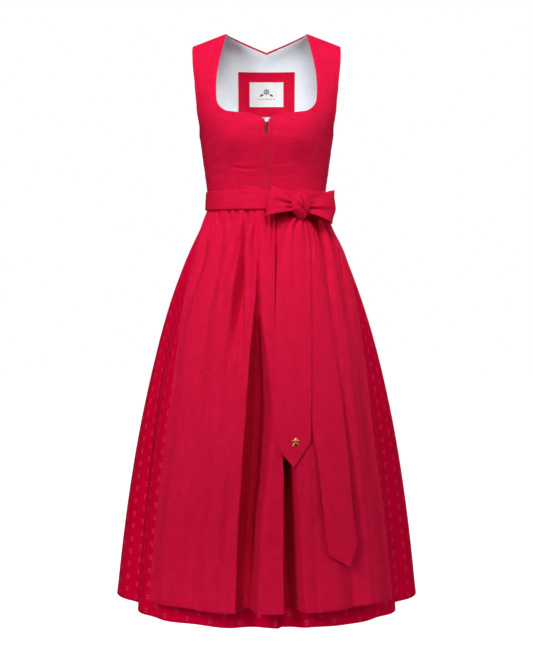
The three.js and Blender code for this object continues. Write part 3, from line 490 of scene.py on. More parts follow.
# Motifs of the jacquard and the label, in metres and degrees.
SPRIG_COLUMNS = 0.034  # from one column of sprigs to the next
SPRIG_ROWS = 0.027
SPRIG_WIDENED = 1.35  # the cloth being seen aslant
SPRIG_LEAF = {"x": 0.0024, "y": -0.0042, "half_length": 0.003, "half_width": 0.0013, "turn": 38}
LABEL_CENTRE = (0.0384, 0.0215)  # of the label's motif, from its upper corner
LABEL_LEAF = {"out": 0.0125, "drop": 0.002, "half_length": 0.0055, "half_width": 0.0021, "turn": 28}
LABEL_ROW = {"drop": 0.0165, "pitch": 0.0058, "radius": 0.0019, "each_side": 3}


def jacquard():
    """Satin jacquard with a small generic blossom and two leaves in half drop, a tone lighter."""
    graph = Graph("jacquard")
    cloth = graph.cloth()
    parts = graph.node("SeparateXYZ", {"Vector": cloth}).outputs
    column = graph.math("DIVIDE", parts["X"], SPRIG_COLUMNS)
    drop = graph.math("MULTIPLY", graph.math("FLOOR", column), 0.5)
    row = graph.math("ADD", graph.math("DIVIDE", parts["Y"], SPRIG_ROWS), drop)
    from_column = graph.math("SUBTRACT", graph.math("FRACT", column), 0.5)
    x = graph.math("MULTIPLY", from_column, SPRIG_COLUMNS / SPRIG_WIDENED)
    y = graph.math("MULTIPLY", graph.math("SUBTRACT", graph.math("FRACT", row), 0.5), SPRIG_ROWS)
    sprig = blossom(graph, x, graph.math("SUBTRACT", y, 0.0014), 0.0042, 5)
    for side, turn in ((1, SPRIG_LEAF["turn"]), (-1, 180 - SPRIG_LEAF["turn"])):
        centre = (side * SPRIG_LEAF["x"], SPRIG_LEAF["y"])
        one = leaf(graph, x, y, centre, SPRIG_LEAF, math.radians(turn))
        sprig = graph.math("MAXIMUM", sprig, one)
    twill = graph.node("VectorRotate", {"Vector": cloth, "Angle": math.radians(32)}, rotation_type="Z_AXIS")
    ribs = graph.threads(twill.outputs[0], 0.0005, "X")
    streaks = graph.noise(cloth, 0.0012, 0.05)
    cloud = graph.noise(cloth, 0.05, 0.05)
    ground = graph.mix(graph.span(streaks, 0.3, 0.7), linear(206, 0, 47), linear(224, 0, 57))
    ground = graph.mix(graph.math("MULTIPLY", cloud, 0.35), ground, linear(208, 0, 49))
    colour = graph.mix(graph.math("MULTIPLY", sprig, 0.5), ground, linear(222, 74, 108))
    height = graph.math("MULTIPLY_ADD", sprig, 1.6, graph.math("MULTIPLY", ribs, 0.6))
    return graph.finish(
        Base_Color=colour,
        Roughness=graph.math("MULTIPLY_ADD", sprig, 0.12, 0.46),
        Normal=graph.bump(height, 0.0001, 0.5),
        Specular_IOR_Level=0.015,
        Specular_Tint=linear(255, 30, 60),
    )


def plain_weave(name, dark, light, pitch, roughness, bump=0.00008):
    """A fine smooth plain weave, slightly streaked."""
    graph = Graph(name)
    cloth = graph.cloth()
    streaks = graph.math("ADD", graph.noise(cloth, 0.03, 0.0009), graph.noise(cloth, 0.0009, 0.03))
    weave = graph.weave(cloth, pitch)
    return graph.finish(
        Base_Color=graph.mix(graph.span(streaks, 0.7, 1.3), dark, light),
        Roughness=graph.span(streaks, 0.6, 1.4, roughness, roughness + 0.1),
        Normal=graph.bump(weave, bump, 0.5),
        Specular_IOR_Level=0.3,
        Sheen_Weight=0.1,
        Sheen_Roughness=0.5,
    )


def thread(name, colour, light):
    """Twisted sewing thread."""
    graph = Graph(name)
    spot = graph.noise(graph.node("TexCoord").outputs["Object"], 0.004, 0.004)
    return graph.finish(
        Base_Color=graph.mix(graph.span(spot, 0.35, 0.65), colour, light),
        Roughness=graph.span(spot, 0.3, 0.7, 0.42, 0.55),
        Specular_IOR_Level=0.4,
        Sheen_Weight=0.2,
        Sheen_Roughness=0.4,
    )


def printed_label():
    """A satin label: a generic blossom over two leaves and a row of small blossoms, in dark thread."""
    graph = Graph("label_woven")
    cloth = graph.cloth()
    parts = graph.node("SeparateXYZ", {"Vector": cloth}).outputs
    x = graph.math("SUBTRACT", parts["X"], LABEL_CENTRE[0])
    y = graph.math("SUBTRACT", LABEL_CENTRE[1], parts["Y"])
    motif = blossom(graph, x, y, 0.0078, 8)
    for degrees in (LABEL_LEAF["turn"], 180 - LABEL_LEAF["turn"]):
        turn, out = math.radians(degrees), LABEL_LEAF["out"]
        centre = (out * math.cos(turn), -LABEL_LEAF["drop"] - out * math.sin(turn))
        motif = graph.math("MAXIMUM", motif, leaf(graph, x, y, centre, LABEL_LEAF, -turn))
    low = graph.math("ADD", y, LABEL_ROW["drop"])
    for column in range(-LABEL_ROW["each_side"], LABEL_ROW["each_side"] + 1):
        off = graph.math("SUBTRACT", x, column * LABEL_ROW["pitch"])
        motif = graph.math("MAXIMUM", motif, blossom(graph, off, low, LABEL_ROW["radius"], 5))
    weave = graph.weave(cloth, 0.00022)
    streaks = graph.noise(cloth, 0.02, 0.0006)
    ground = graph.mix(graph.span(streaks, 0.3, 0.7), linear(224, 229, 229), linear(237, 244, 244))
    return graph.finish(
        Base_Color=graph.mix(motif, ground, linear(40, 38, 42)),
        Roughness=graph.math("MULTIPLY_ADD", motif, 0.2, 0.45),
        Normal=graph.bump(weave, 0.00004, 0.4),
        Specular_IOR_Level=0.3,
    )


def metal(name, dark, light, roughness, metallic):
    """Cast metal, worn brighter in patches, with a faint grain."""
    graph = Graph(name)
    place = graph.node("TexCoord").outputs["Object"]
    wear = graph.noise(place, 0.003, 0.003)
    grain = graph.noise(place, 0.0004, 0.0004)
    return graph.finish(
        Base_Color=graph.mix(graph.span(wear, 0.35, 0.7), dark, light),
        Roughness=graph.span(wear, 0.3, 0.7, roughness, roughness + 0.14),
        Normal=graph.bump(grain, 0.00003, 0.4),
        Metallic=metallic,
    )


LINEN_DARK = linear(196, 10, 50)
LINEN_LIGHT = linear(220, 21, 66)
LINEN = linen("linen", LINEN_DARK, LINEN_LIGHT)
APRON_LINEN = linen("apron_linen", LINEN_DARK, LINEN_LIGHT, 0.37)
JACQUARD = jacquard()
LINING = plain_weave("lining_cotton", linear(226, 242, 254), linear(238, 251, 255), 0.0004, 0.7)
LABEL = printed_label()
TAPE = plain_weave("zip_tape_weave", linear(120, 4, 32), linear(150, 10, 44), 0.0007, 0.7, 0.0002)
THREAD = thread("thread_red", linear(96, 2, 26), linear(150, 14, 46))
WHITE_THREAD = thread("thread_white", linear(214, 212, 210), linear(236, 234, 232))
BRASS = metal("zip_teeth", linear(128, 36, 38), linear(196, 120, 100), 0.35, 0.35)
LACQUER = metal("zip_lacquer", linear(120, 20, 44), linear(205, 120, 125), 0.3, 0.55)
GILT = metal("gilt", linear(196, 138, 62), linear(244, 208, 138), 0.2, 1.0)

# ---- Torso --------------------------------------------------------------------------------------

RIDGE = len(TORSO["z"]) - 1
STATIONS = np.linspace(0, RIDGE, 4001)
torso = {**TORSO, "station": np.arange(RIDGE + 1.0)}
torso_z, torso_width, torso_front, torso_back = (
    curve(torso, "station", key) for key in ("z", "width", "front", "back")
)
HEIGHTS = torso_z(STATIONS)


def station_at(z):
    return np.interp(z, HEIGHTS, STATIONS)


def torso_point(angle, station):
    """A point of the bodice's outside; past the shoulder ridge it goes on down the other side."""
    past_ridge = station > RIDGE
    s = np.where(past_ridge, 2 * RIDGE - station, station)
    half_width = torso_width(s)
    depth = np.where(np.cos(angle) > 0, torso_front(s), torso_back(s)) * np.where(past_ridge, -1, 1)
    x = half_width * np.sin(angle)
    y = -depth * np.cos(angle)
    level = torso_z(s)
    slope_share = smooth(level, SHOULDER_SLOPE_FROM_Z, SHOULDER_Z)
    z = level - np.maximum(0, np.abs(x) - NECK_HALF_WIDTH) * SHOULDER_SLOPE * slope_share
    across = (np.abs(x) - CUP["x"]) / CUP["half_width"]
    upright = (level - CUP["z"]) / CUP["half_height"]
    out = unit(points(x / half_width**2, y / depth**2, 0))
    bulge = CUP["rise"] * np.exp(-across * across - upright * upright) * (y < 0)
    return moved(points(x, y, z), out, bulge)


princess = curve(PRINCESS_SEAM, "z", "x")
strap_edge = curve(STRAP_EDGE, "z", "x")
neckline = curve(NECKLINE, "x", "z")
front_opening = curve(FRONT_OPENING, "z", "x")
armhole_front = curve(ARMHOLE, "z", "front")
armhole_back = curve(ARMHOLE, "z", "back")


def angle_at(x, station):
    return np.arcsin(np.minimum(1, x / torso_width(station)))


def torso_shell(name, angle, station, relief, material, outset=0.0, thickness=CLOTH, roll=0.45):
    """A panel of the bodice: relief(grid) gives its creases, and its edges roll in by roll."""
    normal = normals(torso_point, angle, station, 1e-3, 1e-2)
    base = torso_point(angle, station)
    first, last, bottom, top = from_edges(base)
    rolls = sum(edge_roll(distance, roll) for distance in (first, last, bottom, top))
    height = outset + rolls + relief(base)
    return cloth_shell(name, base, normal, height, thickness, material)


# Creases of the bodice, by the wearer's side: from x0, z0 to x1, z1, bowed by bow, half as wide as
# half, and depth deep. x is measured outwards from the centre front.
FRONT_CREASES = {
    "right": [
        (76, -279, 12, -284, -2.5, 2.6, -1.5), (74, -273, 16, -276, -2.5, 3.4, 1.1),
        (60, -290, 20, -293, 1.5, 3.2, 0.8), (8, -320, 58, -316, 2, 3.6, -0.9),
        (8, -327, 50, -326, 1, 3.0, 0.7), (10, -250, 70, -243, 3, 4.2, -0.5),
        (8, -232, 60, -224, 2, 5.0, 0.45), (12, -302, 44, -306, -1, 2.6, -0.6),
        (14, -206, 60, -196, 2, 5.0, -0.35),
    ],
    "left": [
        (10, -300, 64, -292, 2, 3.4, -0.6), (12, -274, 78, -262, 3, 4.2, -0.5),
        (10, -284, 62, -276, 1, 4.0, 0.5), (10, -238, 74, -230, -2, 4.4, 0.4),
        (16, -210, 66, -200, 2, 5.0, -0.35), (12, -324, 52, -320, 2, 3.0, -0.5),
    ],
}
SIDE_CREASES = {
    "right": [
        (98, -262, 132, -278, 3, 4.5, -1.0), (90, -286, 130, -300, 2, 4.0, -0.9),
        (84, -306, 126, -318, -2, 4.5, 0.8), (112, -204, 136, -232, 3, 5.0, -0.8),
        (120, -180, 134, -214, -2, 4.0, 0.6), (74, -330, 120, -336, 2, 3.6, -0.6),
    ],
    "left": [
        (94, -270, 134, -282, -2, 4.5, -0.8), (88, -298, 128, -308, 2, 4.2, -0.8),
        (112, -200, 138, -226, 3, 5.0, -0.9), (122, -176, 136, -208, 2, 4.0, 0.6),
        (80, -322, 124, -330, -2, 3.8, 0.6),
    ],
}
BACK_CREASES = {
    "right": [
        (20, -286, 92, -300, 4, 5.0, -1.1), (14, -308, 84, -322, -3, 4.5, -1.0),
        (30, -262, 110, -270, 4, 6.0, 0.9), (40, -230, 118, -206, 4, 6.0, -0.9),
        (60, -150, 126, -176, 3, 6.0, -0.8), (12, -332, 70, -338, 2, 3.6, -0.7),
    ],
    "left": [
        (16, -280, 88, -292, -4, 5.0, -1.0), (20, -302, 96, -318, 3, 4.6, -1.1),
        (24, -256, 104, -262, 3, 6.0, 0.8), (46, -222, 120, -200, -4, 6.0, -0.8),
        (56, -142, 124, -170, -3, 6.0, -0.7), (16, -328, 66, -336, -2, 3.6, -0.6),
    ],
}


def puckers(grid, seed, depth=0.28):
    """Small ripples where a seam's stitches draw the cloth in."""
    first, last, _, _ = from_edges(grid)
    ripple = waver(grid[..., 2], grid[..., 0] * 0.2, 9, 30, seed)
    return depth * ripple * (np.exp(-first / 7) + np.exp(-last / 7))


PLACKET = 9  # from the zip to the topstitching on each side of it
PLACKET_TOP_Z = -176


def bodice_relief(rows, seed):
    def relief(grid):
        x, z = np.abs(grid[..., 0]), grid[..., 2]
        uneven = 0.35 * waver(x, z, 48, 34, seed) + 0.16 * waver(x, z, 18, 12, seed + 1)
        upper = 1 - smooth(z, -60, 0)
        placket = 0.4 * bell((x - PLACKET) / 1.1) * (1 - smooth(z, PLACKET_TOP_Z, PLACKET_TOP_Z + 6))
        return creases(x, z, rows) + uneven * upper + puckers(grid, seed + 2) - placket

    return relief


def front_panel(name, side, part):
    across = spaced(64)[None, :]
    up = spaced(96, 0.4)[:, None]

    def x_at(z):
        return mix(front_opening(z), princess(z) - SEEN_GAP / 2, across)

    top = np.full(across.shape, SEAM_TOP_Z)
    for _ in range(20):
        top = neckline(x_at(top))
    z = mix(WAIST_Z, top, up)
    station = station_at(z)
    angle = side * angle_at(x_at(z), station)
    return torso_shell(name, angle, station, bodice_relief(FRONT_CREASES[part], 11 + side), LINEN)


def outer_angle(station, depth, armhole):
    z = torso_z(station)
    seam = np.arccos(SEAM_GAP / 2 / depth(station))
    return np.where(z > UNDERARM_Z, np.radians(armhole(z)), seam)


def side_front_panel(name, side, part):
    z = mix(WAIST_Z, SHOULDER_Z, spaced(150, 0.25))[:, None]
    station = station_at(z)
    edge = np.where(z < SEAM_TOP_Z, princess(z), strap_edge(z)) + SEEN_GAP / 2
    inner = angle_at(edge, station)
    outer = outer_angle(station, torso_front, armhole_front)
    angle = side * mix(inner, outer, spaced(46)[None, :])
    station = np.broadcast_to(station, angle.shape)
    return torso_shell(name, angle, station, bodice_relief(SIDE_CREASES[part], 21 + side), LINEN)


def back_top(angle_of):
    """The station where each column of the back ends: on the V neckline, or at the shoulder line."""
    low = np.full_like(angle_of(0.0), station_at(-60))
    high = np.full_like(low, RIDGE - 1e-6)

    def above(station):
        point = torso_point(angle_of(station), station)
        x = np.abs(point[..., 0])
        return (x < NECK_HALF_WIDTH) & (point[..., 2] > mix(BACK_NECK_Z, SHOULDER_Z, x / NECK_HALF_WIDTH))

    ends_on_neck = above(high)
    for _ in range(30):
        middle = (low + high) / 2
        is_above = above(middle)
        high = np.where(is_above, middle, high)
        low = np.where(is_above, low, middle)
    return np.where(ends_on_neck, low, RIDGE)


def back_grid(side, shares, top_share=1.0):
    """Angles and stations of half the back: share 0 is the centre, share 1 the side seam and armhole."""
    shares = shares[None, :]

    def angle_of(station):
        centre = np.pi - angle_at(SEAM_GAP / 2, station)
        edge = np.pi - outer_angle(station, torso_back, armhole_back)
        return mix(centre, edge, shares)

    z = mix(WAIST_Z, mix(WAIST_Z, SHOULDER_Z, top_share), spaced(150, 0.25))[:, None]
    station = station_at(z) * back_top(angle_of) / RIDGE
    return side * angle_of(station), station


def back_panel(name, side, part):
    angle, station = back_grid(side, spaced(72))
    return torso_shell(name, angle, station, bodice_relief(BACK_CREASES[part], 31 + side), LINEN)


LINING_OUTSET = -BODICE_WALL - SEAM_GAP
LINING_WALL = 1
LINING_SHARE = 0.97  # of the back's width, from the centre
RED_RIM = 0.9993  # share of the height at which the lining stops, short of the back's turned edge


def back_lining(name, side, part):
    angle, station = back_grid(side, spaced(50) * LINING_SHARE, RED_RIM)

    def relief(grid):
        x, z = np.abs(grid[..., 0]), grid[..., 2]
        seam = -0.8 * bell((x - 2) / 1.6)
        return seam + 0.35 * waver(x, z, 60, 26, 41 + side) + 0.2 * waver(x, z, 20, 14, 43 + side) - 0.35

    return torso_shell(name, angle, station, relief, LINING, LINING_OUTSET, 0.8, 0.5)


PATCH = {
    "half_width": 64,
    "height": 99,
    "top": -56,
    "outset": LINING_OUTSET - LINING_WALL - 1.5,
    "thickness": 0.9,
}
LABEL_SIZE = {
    "half_width": 38.4,
    "height": 55,
    "top": -78,
    "outset": PATCH["outset"] - 1 - SEAM_GAP,
    "thickness": 0.7,
}


def inside_place(x, z):
    """Angle and station of a point on the inside of the back."""
    station = station_at(z)
    return np.pi - np.arcsin(x / torso_width(station)), station


def inside_rectangle(name, size, material, seed):
    x = mix(-size["half_width"], size["half_width"], spaced(50))[None, :]
    z = (size["top"] - size["height"] * spaced(40))[:, None]
    angle, station = np.broadcast_arrays(*inside_place(x, z))

    def relief(grid):
        return 0.3 * waver(grid[..., 0], grid[..., 2], 30, 24, seed)

    return torso_shell(
        name, angle, station, relief, material, size["outset"], size["thickness"], 0.4
    )


for side, part in SIDES:
    for name, make in (
        (f"bodice_front_{part}", front_panel),
        (f"bodice_side_front_{part}", side_front_panel),
        (f"bodice_back_{part}", back_panel),
        (f"lining_back_{part}", back_lining),
    ):
        piece = make(f"{name}_cloth", side, part)
        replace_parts(piece, name)

patch = inside_rectangle("label_patch_cloth", PATCH, LINEN, 51)
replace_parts(patch, "label_patch")
label = inside_rectangle("label_cloth", LABEL_SIZE, LABEL, 52)
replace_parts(label, "label")

# ---- Band ---------------------------------------------------------------------------------------

BAND = table(
    "z width front back",
    [(BAND_BOTTOM_Z, 134.8, 105.4, 95.6), (-352, 133.8, 103.4, 93.6), (BAND_TOP_Z, 132.3, 100.9, 91)],
)
BAND_RADIUS = 118  # mean, for lengths along the band
BAND_CLOTH = 1.4  # thickness of the band and of the ribbon round the back
band_width, band_front, band_back = (curve(BAND, "z", key) for key in ("width", "front", "back"))


def band_point(angle, z):
    depth = np.where(np.cos(angle) > 0, band_front(z), band_back(z))
    return points(band_width(z) * np.sin(angle), -depth * np.cos(angle), z)


def band_half(name, start, end, rows, seed):
    gap = SEAM_GAP / 2 / BAND["front"][-1]
    angle = mix(start + gap, end - gap, np.linspace(0, 1, 260))[None, :]
    z = mix(BAND_BOTTOM_Z, BAND_TOP_Z, spaced(26))[:, None]
    angle, z = np.broadcast_arrays(angle, z)
    normal = normals(band_point, angle, z, 1e-3, 1e-2)
    base = band_point(angle, z)
    _, _, bottom, top = from_edges(base)
    run = angle * BAND_RADIUS
    relief = edge_roll(bottom, 0.7, 1.4) + edge_roll(top, 0.7, 1.4)
    relief += 0.35 * waver(run, z, 60, 16, seed) + 0.18 * waver(run, z, 16, 60, seed + 1)
    relief += creases(run, z, rows)
    return cloth_shell(name, base, normal, relief, BAND_CLOTH, LINEN)


# Creases of the band and the ribbon, as the bodice's, with x along the band from the centre front.
BAND_CREASES = [
    (-150, -348, -90, -352, 2, 3.4, -0.45), (-104, -356, -30, -352, -2, 3.6, 0.4),
    (-70, -338, -10, -341, 1, 2.6, -0.35), (-30, -350, 20, -347, 1, 3, -0.45),
    (60, -352, 150, -346, 2, 3.4, -0.5),
]
RIBBON_CREASES = [
    (200, -345, 330, -352, 3, 3.4, -0.6), (260, -352, 430, -346, -3, 3.4, 0.5),
    (380, -360, 540, -354, 2, 3.2, -0.5), (230, -337, 400, -340, 1, 2.8, -0.4),
]
apron_band = band_half("apron_band_cloth", -math.pi / 2, math.pi / 2, BAND_CREASES, 61)
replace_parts(apron_band, "apron_band")
ribbon_back = band_half("ribbon_back_cloth", math.pi / 2, 3 * math.pi / 2, RIBBON_CREASES, 64)
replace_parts(ribbon_back, "ribbon_back")

# ---- Skirt --------------------------------------------------------------------------------------

SKIRT_TOP_Z = WAIST_Z - SEAM_GAP
FLARE_LENGTH = 500
DROP = {"share": 0.8, "length": 35}
SKIRT_WIDTH = (130.2, 131.9, 247)  # half width at the seam and at the band, and flare
SKIRT_FRONT = (99.7, 102, 248)
SKIRT_BACK = (89.8, 91.8, 250)
SKIRT_GATHERS = 56
SKIRT_CLOTH = 2.3  # metres of cloth round the hem
SKIRT_FLUTES = table(
    "angle depth half_width",
    [
        (-69, 36, 10.5), (-47, 4, 5), (-26, 9, 7), (-4, 15, 7), (16, 5, 6), (45, 6, 6),
        (69, 36, 10.5), (104, 24, 8), (123, 30, 8), (145, 24, 7), (164, 32, 8), (186, 26, 7),
        (205, 32, 8), (226, 24, 7), (241, 26, 7), (256, 24, 8),
    ],
)


# Deep folds of the front, that the skirt and the apron over it share: where the steep side lies and how
# far the fold reaches from there to its soft side, in degrees, and how deep it sinks in.
DEEP_FOLDS = [
    table(
        "z edge reach depth",
        [
            (HEM_Z, -9, 5.3, 2), (APRON_HEM_Z, -9, 5.3, 12), (-1080, -9, 5.8, 32),
            (-984, -8.8, 6.1, 49), (-930, -8.4, 7, 58), (-857, -8.1, 8, 63), (-797, -7.6, 8.6, 62),
            (-703, -7.2, 7, 50), (-636, -6.6, 4.7, 33), (-581, -5.9, 2.8, 10), (-532, -5.4, 1.5, 3),
            (-458, -5.8, 1, 0), (-384, -6.7, 1.1, 0),
        ],
    ),
    table(
        "z edge reach depth",
        [
            (HEM_Z, 6.1, 5, 12), (APRON_HEM_Z, 6.1, 5, 34), (-1110, 6.1, 4.8, 47),
            (-1011, 6.3, 4.2, 48), (-879, 6.7, 3.2, 34), (-760, 5.7, 3.3, 16), (-622, 4.8, 2.4, 4),
            (-530, 5.4, 2, 0), (-384, 8, 2.7, 0),
        ],
    ),
]
# The wedge-shaped fold below the band: its steep side, its reach to the wearer's right, its depth.
WEDGE = table(
    "z edge reach depth",
    [
        (-740, -9.5, 4, 0), (-662, -10.5, 4.6, 5), (-612, -11.4, 5.2, 17), (-561, -12.1, 5.6, 27),
        (-520, -12.9, 5.4, 31), (-479, -14.4, 4.4, 26), (-437, -16.4, 2.9, 17),
        (-411, -17.8, 1.9, 9), (-384, -19.5, 1.2, 1.5),
    ],
)
wedge_side, wedge_reach, wedge_depth = (curve(WEDGE, "z", key) for key in ("edge", "reach", "depth"))
FOLD_SIDES = [curve(rows, "z", "edge") for rows in DEEP_FOLDS]
FOLD_REACHES = [curve(rows, "z", "reach") for rows in DEEP_FOLDS]
FOLD_DEPTHS = [curve(rows, "z", "depth") for rows in DEEP_FOLDS]
FOLD_WALL = 0.75  # half the width of a steep side, in degrees
FOLD_PULL = 5  # degrees over which the skirt's columns lean with a fold's steep side
FOLDS_MIDDLE_Z = -900  # the height at which they don't lean
UNDER_FOLD = {"room": 1.3, "deeper": 1.12}  # the skirt's folds are wider and deeper than the apron's


APRON_TOP_Z = BAND_BOTTOM_Z - SEAM_GAP
APRON_EDGES = table(
    "z right left",
    [
        (APRON_HEM_Z, -43, 47.6), (-900, -44, 47.8), (-760, -45, 50.4), (-640, -48.3, 55.2),
        (-560, -52, 59.5), (-475, -59.5, 69), (-438, -65.5, 74), (-400, -73, 79),
        (APRON_TOP_Z, -82, 83),
    ],
)
apron_right, apron_left = curve(APRON_EDGES, "z", "right"), curve(APRON_EDGES, "z", "left")
UNDER_GATHERS = {"depth": 22, "length": 240}  # how far the skirt gives way under the apron's gathers


def given_way(angle, z):
    """How far the skirt sinks in under the apron's gathers."""
    below = APRON_TOP_Z - z
    from_right = smooth(np.degrees(angle) - apron_right(z), 4, 11)
    from_left = smooth(apron_left(z) - np.degrees(angle), 4, 11)
    down = smooth(below, -12, 14) * np.exp(-((np.maximum(below, 0) / UNDER_GATHERS["length"]) ** 2))
    return UNDER_GATHERS["depth"] * from_right * from_left * down


def in_fold(fold, angle, z, room):
    """How fully a point lies in a deep fold, from 0 to 1; room widens the fold on both sides."""
    off = np.degrees(angle) - FOLD_SIDES[fold](z) + room
    reach = FOLD_REACHES[fold](z) + 2 * room
    return smooth(off, -FOLD_WALL, FOLD_WALL) * (1 - smooth(off / reach, 0.45, 1.3))


def leaned(angle, z):
    """An angle of the skirt, leaned so that one column keeps to each fold's steep side all down it."""
    pull = 0
    for side_at in FOLD_SIDES:
        side = side_at(FOLDS_MIDDLE_Z)
        pull = pull + (side_at(z) - side) * bell((np.degrees(angle) - side) / FOLD_PULL)
    return angle + np.radians(pull)


def skirt_size(sizes, z):
    seam, band, flare = sizes
    below = BAND_BOTTOM_Z - z
    upper = mix(band, seam, -below / (SKIRT_TOP_Z - BAND_BOTTOM_Z))
    spread = (1 - np.exp(-below / FLARE_LENGTH)) * (1 - DROP["share"] * np.exp(-below / DROP["length"]))
    return np.where(below < 0, upper, band + flare * spread)


def ellipse_point(width, depth, angle, z, outset):
    x = width * np.sin(angle)
    y = -depth * np.cos(angle)
    out = unit(points(x / width**2, y / depth**2, 0))
    return moved(points(x, y, z), out, outset)


def skirt_form(angle, z, outset):
    depth = np.where(np.cos(angle) > 0, skirt_size(SKIRT_FRONT, z), skirt_size(SKIRT_BACK, z))
    return ellipse_point(skirt_size(SKIRT_WIDTH, z), depth, angle, z, outset)


def gather_depth(below, deepest, length):
    return deepest * (0.72 + 0.28 * np.minimum(1, below / 30)) * np.exp(-((below / length) ** 2))


def gather_wave(gather):
    return (0.5 - 0.5 * np.cos(2 * np.pi * gather)) * (0.8 + 0.2 * np.sin(2.4 * gather))


def turned_by(angle, centre):
    difference = angle - centre
    return np.arctan2(np.sin(difference), np.cos(difference))


def skirt_relief(angle, gather, z):
    """How far the skirt lies inside its form: flutes, gathers and what the cloth does between them."""
    below = SKIRT_TOP_Z - z
    share = below / (SKIRT_TOP_Z - HEM_Z)
    flutes = sum(
        depth * bell(turned_by(angle, math.radians(centre)) / math.radians(half))
        for centre, depth, half in zip(*SKIRT_FLUTES.values())
    )
    grow = smooth(share, 0.02, 1) ** 0.9
    turned = np.degrees(angle)
    long_folds = 1 + waver(turned, z, 16, 1500, 71)
    short_folds = 1 + waver(turned, z, 7, 500, 72)
    folds = 2.2 * long_folds * smooth(share, 0.05, 0.5) + 1.1 * short_folds * bell((share - 0.2) / 0.3)
    gathers = gather_depth(below, 4.2, 190) * gather_wave(gather)
    deep = sum(
        UNDER_FOLD["deeper"] * depth_at(z) * in_fold(fold, angle, z, UNDER_FOLD["room"])
        for fold, depth_at in enumerate(FOLD_DEPTHS)
    )
    off = (wedge_side(z) + UNDER_FOLD["room"] - turned) / (wedge_reach(z) + 2 * UNDER_FOLD["room"])
    wedge = UNDER_FOLD["deeper"] * wedge_depth(z) * smooth(off, -0.14, 0.14) * (1 - smooth(off, 0.5, 1.35))
    return flutes * grow + gathers + folds + deep + wedge + given_way(angle, z)


def skirt_point(gather, z):
    """A point of the skirt, by gather number counted from the centre front, and height."""
    turn = 2 * np.pi * gather / SKIRT_GATHERS
    angle = leaned(turn + 0.02 * np.sin(5 * turn) + 0.012 * np.sin(9 * turn + 1), z)
    return skirt_form(angle, z, -skirt_relief(angle, gather, z))


HEM_STITCH_UP = 22  # how far the skirt's hem is turned up
APRON_HEM_UP = 31
COLUMNS_A_GATHER = 10  # of the skirt
APRON_COLUMNS_A_GATHER = 11


def rows_down(top, bottom, count, power=1.25):
    """Heights from a seam down, closer together near it."""
    return top + (bottom - top) * np.linspace(0, 1, count) ** power


def hung_panel(name, surface, gathers, z, cloth_width, gathers_all, material, relief=0.0):
    """A gathered panel with level walls, and cloth coordinates that run with its gathers."""
    gather, z = np.broadcast_arrays(gathers[None, :], z[:, None])
    normal = normals(surface, gather, z, 1e-2, 0.5)
    normal[..., 2] = 0
    normal = unit(normal)
    base = surface(gather, z)
    outer = moved(base, normal, relief)
    inner = moved(outer, normal, -CLOTH)
    uv = np.stack([gather / gathers_all * cloth_width, -z * MM], -1)
    return shell(name, outer, inner, uv, material)


def skirt_panel(name, start, end):
    gap = SEEN_GAP / 2 / SKIRT_WIDTH[0] / (2 * np.pi) * SKIRT_GATHERS
    columns = int((end - start) * COLUMNS_A_GATHER) + 1
    gathers = mix(start + gap, end - gap, np.linspace(0, 1, columns))
    z = rows_down(SKIRT_TOP_Z, HEM_Z, 104)[::-1]
    up = (z - HEM_Z)[:, None]
    doubled = 0.5 * (1 - smooth(up, HEM_STITCH_UP - 1, HEM_STITCH_UP + 1.5))
    relief = doubled - 0.7 * bell((up - HEM_STITCH_UP) / 1.6) - 0.5
    return hung_panel(
        name, skirt_point, gathers, z, SKIRT_CLOTH, SKIRT_GATHERS, JACQUARD, relief
    )


QUARTER = SKIRT_GATHERS / 4
skirt_front = skirt_panel("skirt_front_cloth", -QUARTER, QUARTER)
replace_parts(skirt_front, "skirt_front")
skirt_back = skirt_panel("skirt_back_cloth", QUARTER, 3 * QUARTER)
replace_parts(skirt_back, "skirt_back")

# ---- Apron --------------------------------------------------------------------------------------

APRON_GATHERS = 34
APRON_CLEARANCE = SKIRT_WALL + 0.7  # of the apron's outside from the skirt's form, before its folds
APRON_CLOTH = 0.92  # metres of cloth across the apron
APRON_LIFT = table(
    "z lift",
    [(APRON_HEM_Z, 38), (-1000, 32), (-800, 23), (-600, 13), (-470, 6), (APRON_TOP_Z, 1.5)],
)
# Shallow valleys between the apron's ridges: the height they start and end at, where they lie across
# the apron there, how steep their sides are at the lower end, and the share of the lift that they take.
APRON_FOLDS = [
    (-385, -690, 0.345, 0.315, 0.032, 0.012, 0.85), (-760, APRON_HEM_Z, 0.26, 0.2, 0.06, 0.05, 0.3),
    (APRON_TOP_Z, -900, 0.2, 0.15, 0.04, 0.05, 0.45),
    (APRON_TOP_Z, APRON_HEM_Z, 0.85, 0.8, 0.04, 0.05, 0.4),
    (APRON_TOP_Z, -980, 0.73, 0.7, 0.04, 0.05, 0.4),
]
FOLD_GATHERS = [14, 18]  # the gathers that run down the deep folds' steep sides
